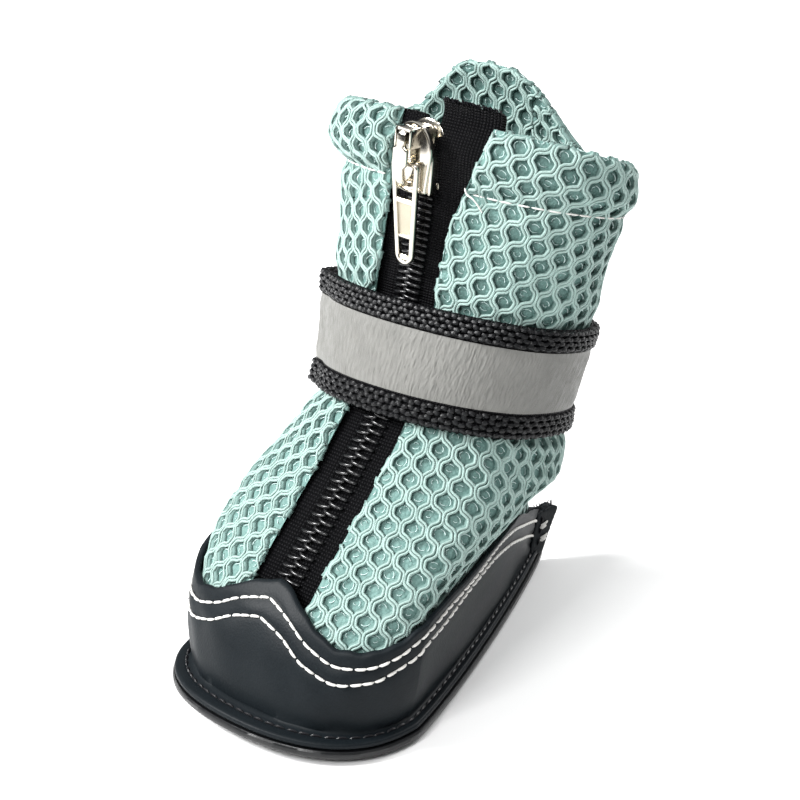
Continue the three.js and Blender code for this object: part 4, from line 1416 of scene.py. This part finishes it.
    def plate(self, y_face: float, y_back: float, dome: float) -> Shape:
        """A plate with a bright rounded rim and a face that domes inside it.

        Args:
            y_face: of the face that shows.
            y_back: of the other face.
            dome: how far the face rises, positive towards the front.
        Returns:
            The plate in the slider frame.
        """
        outline = self.shield(self.plate_half, -6.0, 6.0)
        middle = np.array([0.0, 0.4])
        away = np.sign(dome)
        loops = []
        for share, y in ((0.02, y_back), (0.93, y_back), (1.0, y_back - away * 0.2),
                         (1.0, y_face + away * 0.15), (0.975, y_face), (0.93, y_face - 0.05 * away),
                         (0.89, y_face + 0.12 * away), (0.84, y_face + 0.1 * away),
                         (0.7, y_face - 0.28 * dome), (0.5, y_face - 0.62 * dome),
                         (0.3, y_face - 0.86 * dome), (0.12, y_face - dome), (0.02, y_face - dome)):
            flat = middle + (outline - middle) * share
            loops.append(np.stack([flat[:, 0], np.full(len(flat), y), flat[:, 1]], -1))
        return stack(np.stack(loops))

    def block(self, x: tuple[float, float], y: tuple[float, float], z: tuple[float, float],
              round_by: float) -> Shape:
        """A block whose upright edges are rounded and whose two ends are drawn in.

        Args:
            x: its two sides.
            y: its front and back.
            z: its foot and top.
            round_by: how far the ends are drawn in.
        Returns:
            The block in the frame of its numbers.
        """
        square = np.stack(squarish(turns(20), 0.35), -1)
        half = np.array([(x[1] - x[0]) / 2, (y[1] - y[0]) / 2])
        centre = np.array([(x[0] + x[1]) / 2, (y[0] + y[1]) / 2])
        loops = []
        for v, inset in ((0, round_by), (0.06, round_by * 0.3), (0.15, 0), (0.85, 0), (0.94, round_by * 0.3),
                         (1, round_by)):
            level = np.full((len(square), 1), z[0] + (z[1] - z[0]) * v)
            loops.append(np.concatenate([centre + square * (half - inset), level], 1))
        return stack(np.stack(loops))

    def slider(self) -> Shape:
        """Domed outer plate, flat inner plate, rolled side lips, the wedge between and the bridge."""
        parts = [self.plate(-2.35, -1.4, 0.6), self.plate(2.1, 1.4, -0.15)]
        lip = (self.plate_half - 0.7, self.plate_half + 0.12)
        cheek = (1.42, 1.78)
        for side in (-1, 1):
            for x, y, z, round_by in ((lip, (-1.85, -0.15), (-6.0, 0.8), 0.22),
                                      (cheek, (-5.05, -2.2), (1.9, 5.2), 0.1)):
                parts.append(self.block(tuple(sorted((side * x[0], side * x[1]))), y, z, round_by))
        parts.append(self.block((-1.78, 1.78), (-4.95, -2.2), (4.75, 5.35), 0.15))
        parts.append(self.block((-1.3, 1.3), (-1.5, 1.5), (1.4, 5.1), 0.3))
        parts.append(self.bridge())
        return self.on_slider(Shape.joined(parts))

    def bridge(self) -> Shape:
        """The bar that holds the pull: bent over the plate, narrow, with a wider six-sided middle."""
        line = np.array([(-2.2, 4.9), (-3.6, 5.0), (-4.6, 4.8), (-5.05, 4.2), (-5.15, 3.2), (-5.15, 1.0),
                         (-5.15, -0.8), (-5.15, -2.2), (-5.0, -3.2), (-4.4, -4.1), (-3.4, -4.6),
                         (-2.2, -4.8)])
        run = distances(line)
        path = sampled(line, run, np.linspace(0, run[-1], 72))
        along = unit(np.gradient(path, axis=0))
        across = np.stack([along[:, 1], -along[:, 0]], -1)
        middle = clamp01((2.0 - np.abs(path[:, 1] - 0.4)) / 0.7) * (path[:, 0] < -4.9)
        half = 0.85 + 0.7 * middle
        wide, thick = squarish(turns(16), 0.4)
        x = half[:, None] * wide[None, :]
        y = path[:, :1] + across[:, :1] * thick[None, :] * self.bridge_half
        z = path[:, 1:] + across[:, 1:] * thick[None, :] * self.bridge_half
        return stack(np.stack([x, y, z], -1))

    def rim(self) -> Shape:
        """The pull's rim: a rounded bar carried round its closed outline, with the divider and slot bars."""
        turn = np.linspace(np.pi, 2 * np.pi, 24)
        low, half = -self.pull_length, self.pull_end
        end = np.stack([half * np.cos(turn), low + half * np.sin(turn)], -1)
        right = np.stack([np.linspace(half, 2.5, 30)[1:], np.linspace(low, -0.6, 30)[1:]], -1)
        crown = np.array([(2.4, -0.15), (2.0, 0.0), (1.0, 0.0), (0.0, 0.0), (-1.0, 0.0), (-2.0, 0.0),
                          (-2.4, -0.15)])
        left = right[::-1] * [-1, 1]
        line = np.concatenate([end, right, crown, left[:-1]])
        along = unit(np.roll(line, -1, axis=0) - np.roll(line, 1, axis=0))
        across = np.stack([along[:, 1], -along[:, 0]], -1)
        wide, thick = squarish(turns(12) + np.pi / 12, 0.6)
        x = line[:, :1] + across[:, :1] * (wide * 0.42)[None, :]
        z = line[:, 1:] + across[:, 1:] * (wide * 0.42)[None, :]
        loop = np.stack([x, np.broadcast_to(thick * 0.6, x.shape), z], -1)
        rim = Shape(loop.reshape(-1, 3), [grid_faces(len(line), 12, True, True)]).outward()
        bars = [self.block((-2.15, 2.15), (-0.5, 0.5), (-7.25, -6.35), 0.12),
                self.block((-1.5, 1.5), (-0.45, 0.5), (-13.4, -12.9), 0.1),
                self.block((-1.0, 1.0), (-0.5, 0.5), (-17.4, -16.4), 0.12)]
        return self.on_pull(Shape.joined([rim, *bars]))

    def panel(self) -> Shape:
        """The recessed panel of the pull, thinner than its rim."""
        z = np.array([-13.1, -13.0, -7.2, -7.1])
        half = 1.42 + (z + 13.1) * 0.062
        loops = [np.array([(-h, -0.12, level), (h, -0.12, level), (h, 0.42, level), (-h, 0.42, level)])
                 for h, level in zip(half, z)]
        return self.on_pull(stack(np.stack(loops)))

    def build(self) -> None:
        """Makes the tapes, coil, slider and pull."""
        self.tape(-1).dress("zip_tape_left_woven", TAPE, nodes=("zip_tape_left",), slot="zip_tape")
        self.tape(1).dress("zip_tape_right_woven", TAPE, nodes=("zip_tape_right",), slot="zip_tape")
        self.stubble().dress("zip_tape_raw_end", BLACK_THREAD, slot="zip_tape")
        self.coil().dress("zip_coil_teeth", NYLON, nodes=("zip_coil",), slot="zip_coil", sharp=180)
        self.cord().dress("zip_coil_core", TAPE, slot="zip_coil")
        self.slider().dress("zip_slider_body", NICKEL, nodes=("zip_slider",), slot="zip_metal", sharp=35)
        self.rim().dress("zip_pull_rim", NICKEL, body="pull", nodes=("zip_pull",), slot="zip_metal", sharp=60)
        self.panel().dress("zip_pull_panel", BLASTED, body="pull", slot="zip_metal", sharp=35)


# ---- strap ----------------------------------------------------------------------------------
@dataclass
class Strap:
    """The ankle strap: ribbed webbing with a reflective stripe, its free end lapped on the -X side."""

    low: float = 49.2
    width: float = 19.5
    inner: float = 0.3
    wall: float = 1.4
    lap: float = 1.75
    free_end: float = -1.62
    overlap: float = 0.38
    border: float = 4.2
    stations: int = 520
    stripe_stations: int = 900
    rib: float = 1.4
    loop: float = 1.35

    def angles(self, stations: int) -> Array:
        """Angles of the sections from the free end round to the covered start."""
        return np.linspace(self.free_end, 2 * np.pi + self.free_end + self.overlap, stations)

    def lift(self, angle: Array) -> Array:
        """How far the free end stands off, to pass over the start."""
        return self.lap * smooth((self.free_end + self.overlap + 0.35 - angle) / 0.3)

    def run(self, angle: Array) -> Array:
        """Length along the strap at mid width."""
        return distances(LAST.surface(angle, self.low + self.width / 2, self.inner + self.wall))

    def band(self) -> Shape:
        """The webbing: ribs along both borders, each a row of small loops, and flat under the stripe."""
        angle = self.angles(self.stations)
        run, lift = self.run(angle)[:, None], self.lift(angle)[:, None]
        v = np.concatenate([np.linspace(0, 0.25, 18), np.linspace(0.25, 0.75, 8)[1:-1],
                            np.linspace(0.75, 1, 18)])
        inside = np.linspace(1, 0, 12)
        mm = v * self.width
        edge = np.minimum(mm, self.width - mm)
        rib = np.abs(np.sin(np.pi * edge / self.rib)) ** 0.7
        step = np.floor(edge / self.rib)[None, :] * 0.5
        loop = 0.55 + 0.45 * np.abs(np.sin(np.pi * (run / self.loop + step)))
        bumps = 0.15 * rib[None, :] * loop * (edge < self.border)[None, :]
        corner = -0.4 * np.exp(-((edge / 0.35) ** 2))[None, :]
        outer = self.inner + lift + self.wall - 0.45 + bumps + corner
        ripple = 0.12 * np.sin(run * 4.65) * np.exp(-edge / 0.8)[None, :]
        height = self.low + mm[None, :] + ripple * np.sign(v - 0.5)[None, :]
        face = LAST.surface(angle[:, None], height, outer)
        back = LAST.surface(angle[:, None], self.low + self.width * inside[None, :], self.inner + lift)
        across = np.concatenate([mm, self.width * inside])
        uv = np.stack(np.broadcast_arrays(run, across[None, :]), -1)
        return stack(np.concatenate([face, back], 1), uv)

    def stripe(self) -> Shape:
        """The reflective stripe, sewn on the webbing's face with its long edges turned down."""
        angle = self.angles(self.stripe_stations)
        run, lift = self.run(angle)[:, None], self.lift(angle)[:, None]
        v = np.concatenate([[0, 0.015], np.linspace(0.04, 0.96, 26), [0.985, 1.0]])
        low, high = self.border + 0.05, self.width - self.border - 0.05
        base = self.inner + self.wall - 0.32
        crown = 0.32 * np.minimum(1, 6 * np.minimum(v, 1 - v) + 0.15)[None, :]
        flow = run + 0.5 * np.sin(v[None, :] * 9 + run * 0.7) + 0.3 * np.sin(v[None, :] * 23 - run * 1.9)
        wrinkle = 0.055 * np.sin(flow * 5.2) * np.sin(v[None, :] * 7 + run * 2.3)
        wrinkle = wrinkle + 0.045 * np.sin(flow * 8.1 + 1.7 * np.sin(v[None, :] * 14 + run))
        crown = crown + wrinkle * np.minimum(1, 8 * np.minimum(v, 1 - v))[None, :]
        height = self.low + low + (high - low) * v[None, :]
        face = LAST.surface(angle[:, None], height, base + lift + crown)
        under = LAST.surface(angle[:, None], height[:, ::-1], base + lift - 0.1)
        across = np.concatenate([height, height[:, ::-1]], 1)
        uv = np.stack(np.broadcast_arrays(run, across), -1)
        return stack(np.concatenate([face, under], 1), uv)

    def loops(self) -> Shape:
        """Rows of thick loops that make up the woven borders, each row half a loop out of step."""
        angle = self.angles(self.stations)
        run, lift = self.run(angle), self.lift(angle)
        rows = []
        for k, edge in enumerate((0.55, 1.5, 2.45, 3.4)):
            for height in (self.low + edge, self.low + self.width - edge):
                skip = 8 if k % 2 else 2
                level = height + 0.16 * np.sin(run * 2.51 + k * np.pi)
                out = self.inner + lift + self.wall - 0.2 - 0.2 * (edge < 1)
                path = LAST.surface(angle, level, out)[skip:-skip]
                normals = LAST.normal(angle, level, out)[skip:-skip]
                rows.append(stitches(path, normals, 1.25, 1.2, 0.42, rise=0.3))
        return Shape.joined(rows)

    def ends(self) -> Shape:
        """Cut yarns along the free end."""
        k = np.arange(46)
        t = np.linspace(0, 1, 5)
        height = self.low + self.width * ((k + 0.5) / 46)[:, None] + 0.4 * np.sin(k * 2.2)[:, None] * t
        angle = self.free_end + 0.01 - (0.02 + 0.03 * np.abs(np.sin(k * 1.9)))[:, None] * t
        layer = self.inner + self.lap + self.wall * ((k * 0.618) % 1)[:, None]
        out = layer + 0.3 * np.cos(k * 2.9)[:, None] * t
        path = LAST.surface(angle, height, out)
        return tubes(path, LAST.normal(angle, height, out), 0.16, sides=4, taper=True)

    def build(self) -> None:
        """Makes the webbing, its stripe, the loops of its borders and its frayed end."""
        self.band().dress("strap_band", WEBBING, nodes=("strap",), slot="strap_webbing", sharp=180)
        self.stripe().dress("strap_stripe", STRIPE, slot="strap_webbing", sharp=60)
        self.loops().dress("strap_border_loops", CORD, slot="strap_webbing")
        self.ends().dress("strap_frayed_end", BLACK_THREAD, slot="strap_webbing")


# ---- studio ---------------------------------------------------------------------------------
@dataclass(frozen=True)
class Softbox:
    """A square area light: where it stands, its size and its power in watts."""

    name: str
    place: tuple[float, float, float]
    size: float
    power: float


@dataclass
class Studio:
    """Pale floor, soft lights and the camera."""

    eye: tuple[float, float, float] = (0.2791, -0.3025, 0.2487)
    aim: tuple[float, float, float] = (0.0025, 0.0, 0.0505)
    lens: float = 118.0
    sky_strength: float = 0.75
    lights: tuple[Softbox, ...] = (
        Softbox("key", (-0.5, -0.5, 0.6), 0.3, 15.0),
        Softbox("front", (0.1, -0.75, 0.65), 0.3, 6.0),
        Softbox("rim", (0.1, 0.7, 0.6), 0.5, 5.0),
    )

    def point(self, thing: bpy.types.Object, place: tuple[float, float, float]) -> None:
        """Stands a light or the camera at a place and turns it towards the aim."""
        thing.location = place
        thing.rotation_euler = (Vector(self.aim) - Vector(place)).to_track_quat("-Z", "Y").to_euler()

    def floor(self) -> None:
        """A wide square under the sole."""
        mesh = bpy.data.meshes.new("floor")
        mesh.from_pydata([(-4, -4, 0), (4, -4, 0), (4, 4, 0), (-4, 4, 0)], [], [(0, 1, 2, 3)])
        mesh.materials.append(FLOOR.material())
        added("floor", mesh)

    def light(self) -> None:
        """Area lights that face the boot, and a pale sky that darkens towards the horizon."""
        for box in self.lights:
            data = bpy.data.lights.new(box.name, "AREA")
            data.size, data.energy = box.size, box.power
            self.point(added(box.name, data), box.place)
        world = bpy.data.worlds.new("Studio")
        world.use_nodes = True
        g = Graph(world.node_tree)
        way = g.node("ShaderNodeTexCoord").outputs["Generated"]
        height = g.node("ShaderNodeSeparateXYZ", Vector=way).outputs[2]
        rise = g.math("MULTIPLY_ADD", height, 1.7, -0.2)
        share = g.math("SMOOTH_MIN", g.math("MAXIMUM", rise, 0.0), 1.0, 0.2)
        sky = g.mix(share, (0.06, 0.06, 0.065, 1.0), (1.0, 1.0, 1.0, 1.0))
        seen = world.node_tree.nodes.new("ShaderNodeLightPath").outputs["Is Camera Ray"]
        background = world.node_tree.nodes["Background"]
        g.put(background.inputs["Color"], g.mix(seen, sky, (1.0, 1.0, 1.0, 1.0)))
        background.inputs["Strength"].default_value = self.sky_strength
        bpy.context.scene.world = world

    def camera(self) -> None:
        """The camera, level with its long side across."""
        data = bpy.data.cameras.new("camera")
        data.lens = self.lens
        data.clip_start = 0.01
        made = added("camera", data)
        self.point(made, self.eye)
        bpy.context.scene.camera = made

    def build(self) -> None:
        """Sets the stage."""
        self.floor()
        self.light()
        self.camera()
        bpy.context.scene.view_settings.view_transform = "Standard"


def main() -> None:
    """Builds the boot's sub-assemblies and the studio in order."""
    logging.basicConfig(level=logging.INFO, format="%(message)s")
    for part in (Sole(), Rand(), Upper(), Zip(), Strap(), Studio()):
        part.build()
        LOG.info("built %s", type(part).__name__)


if __name__ == "__main__":
    main()
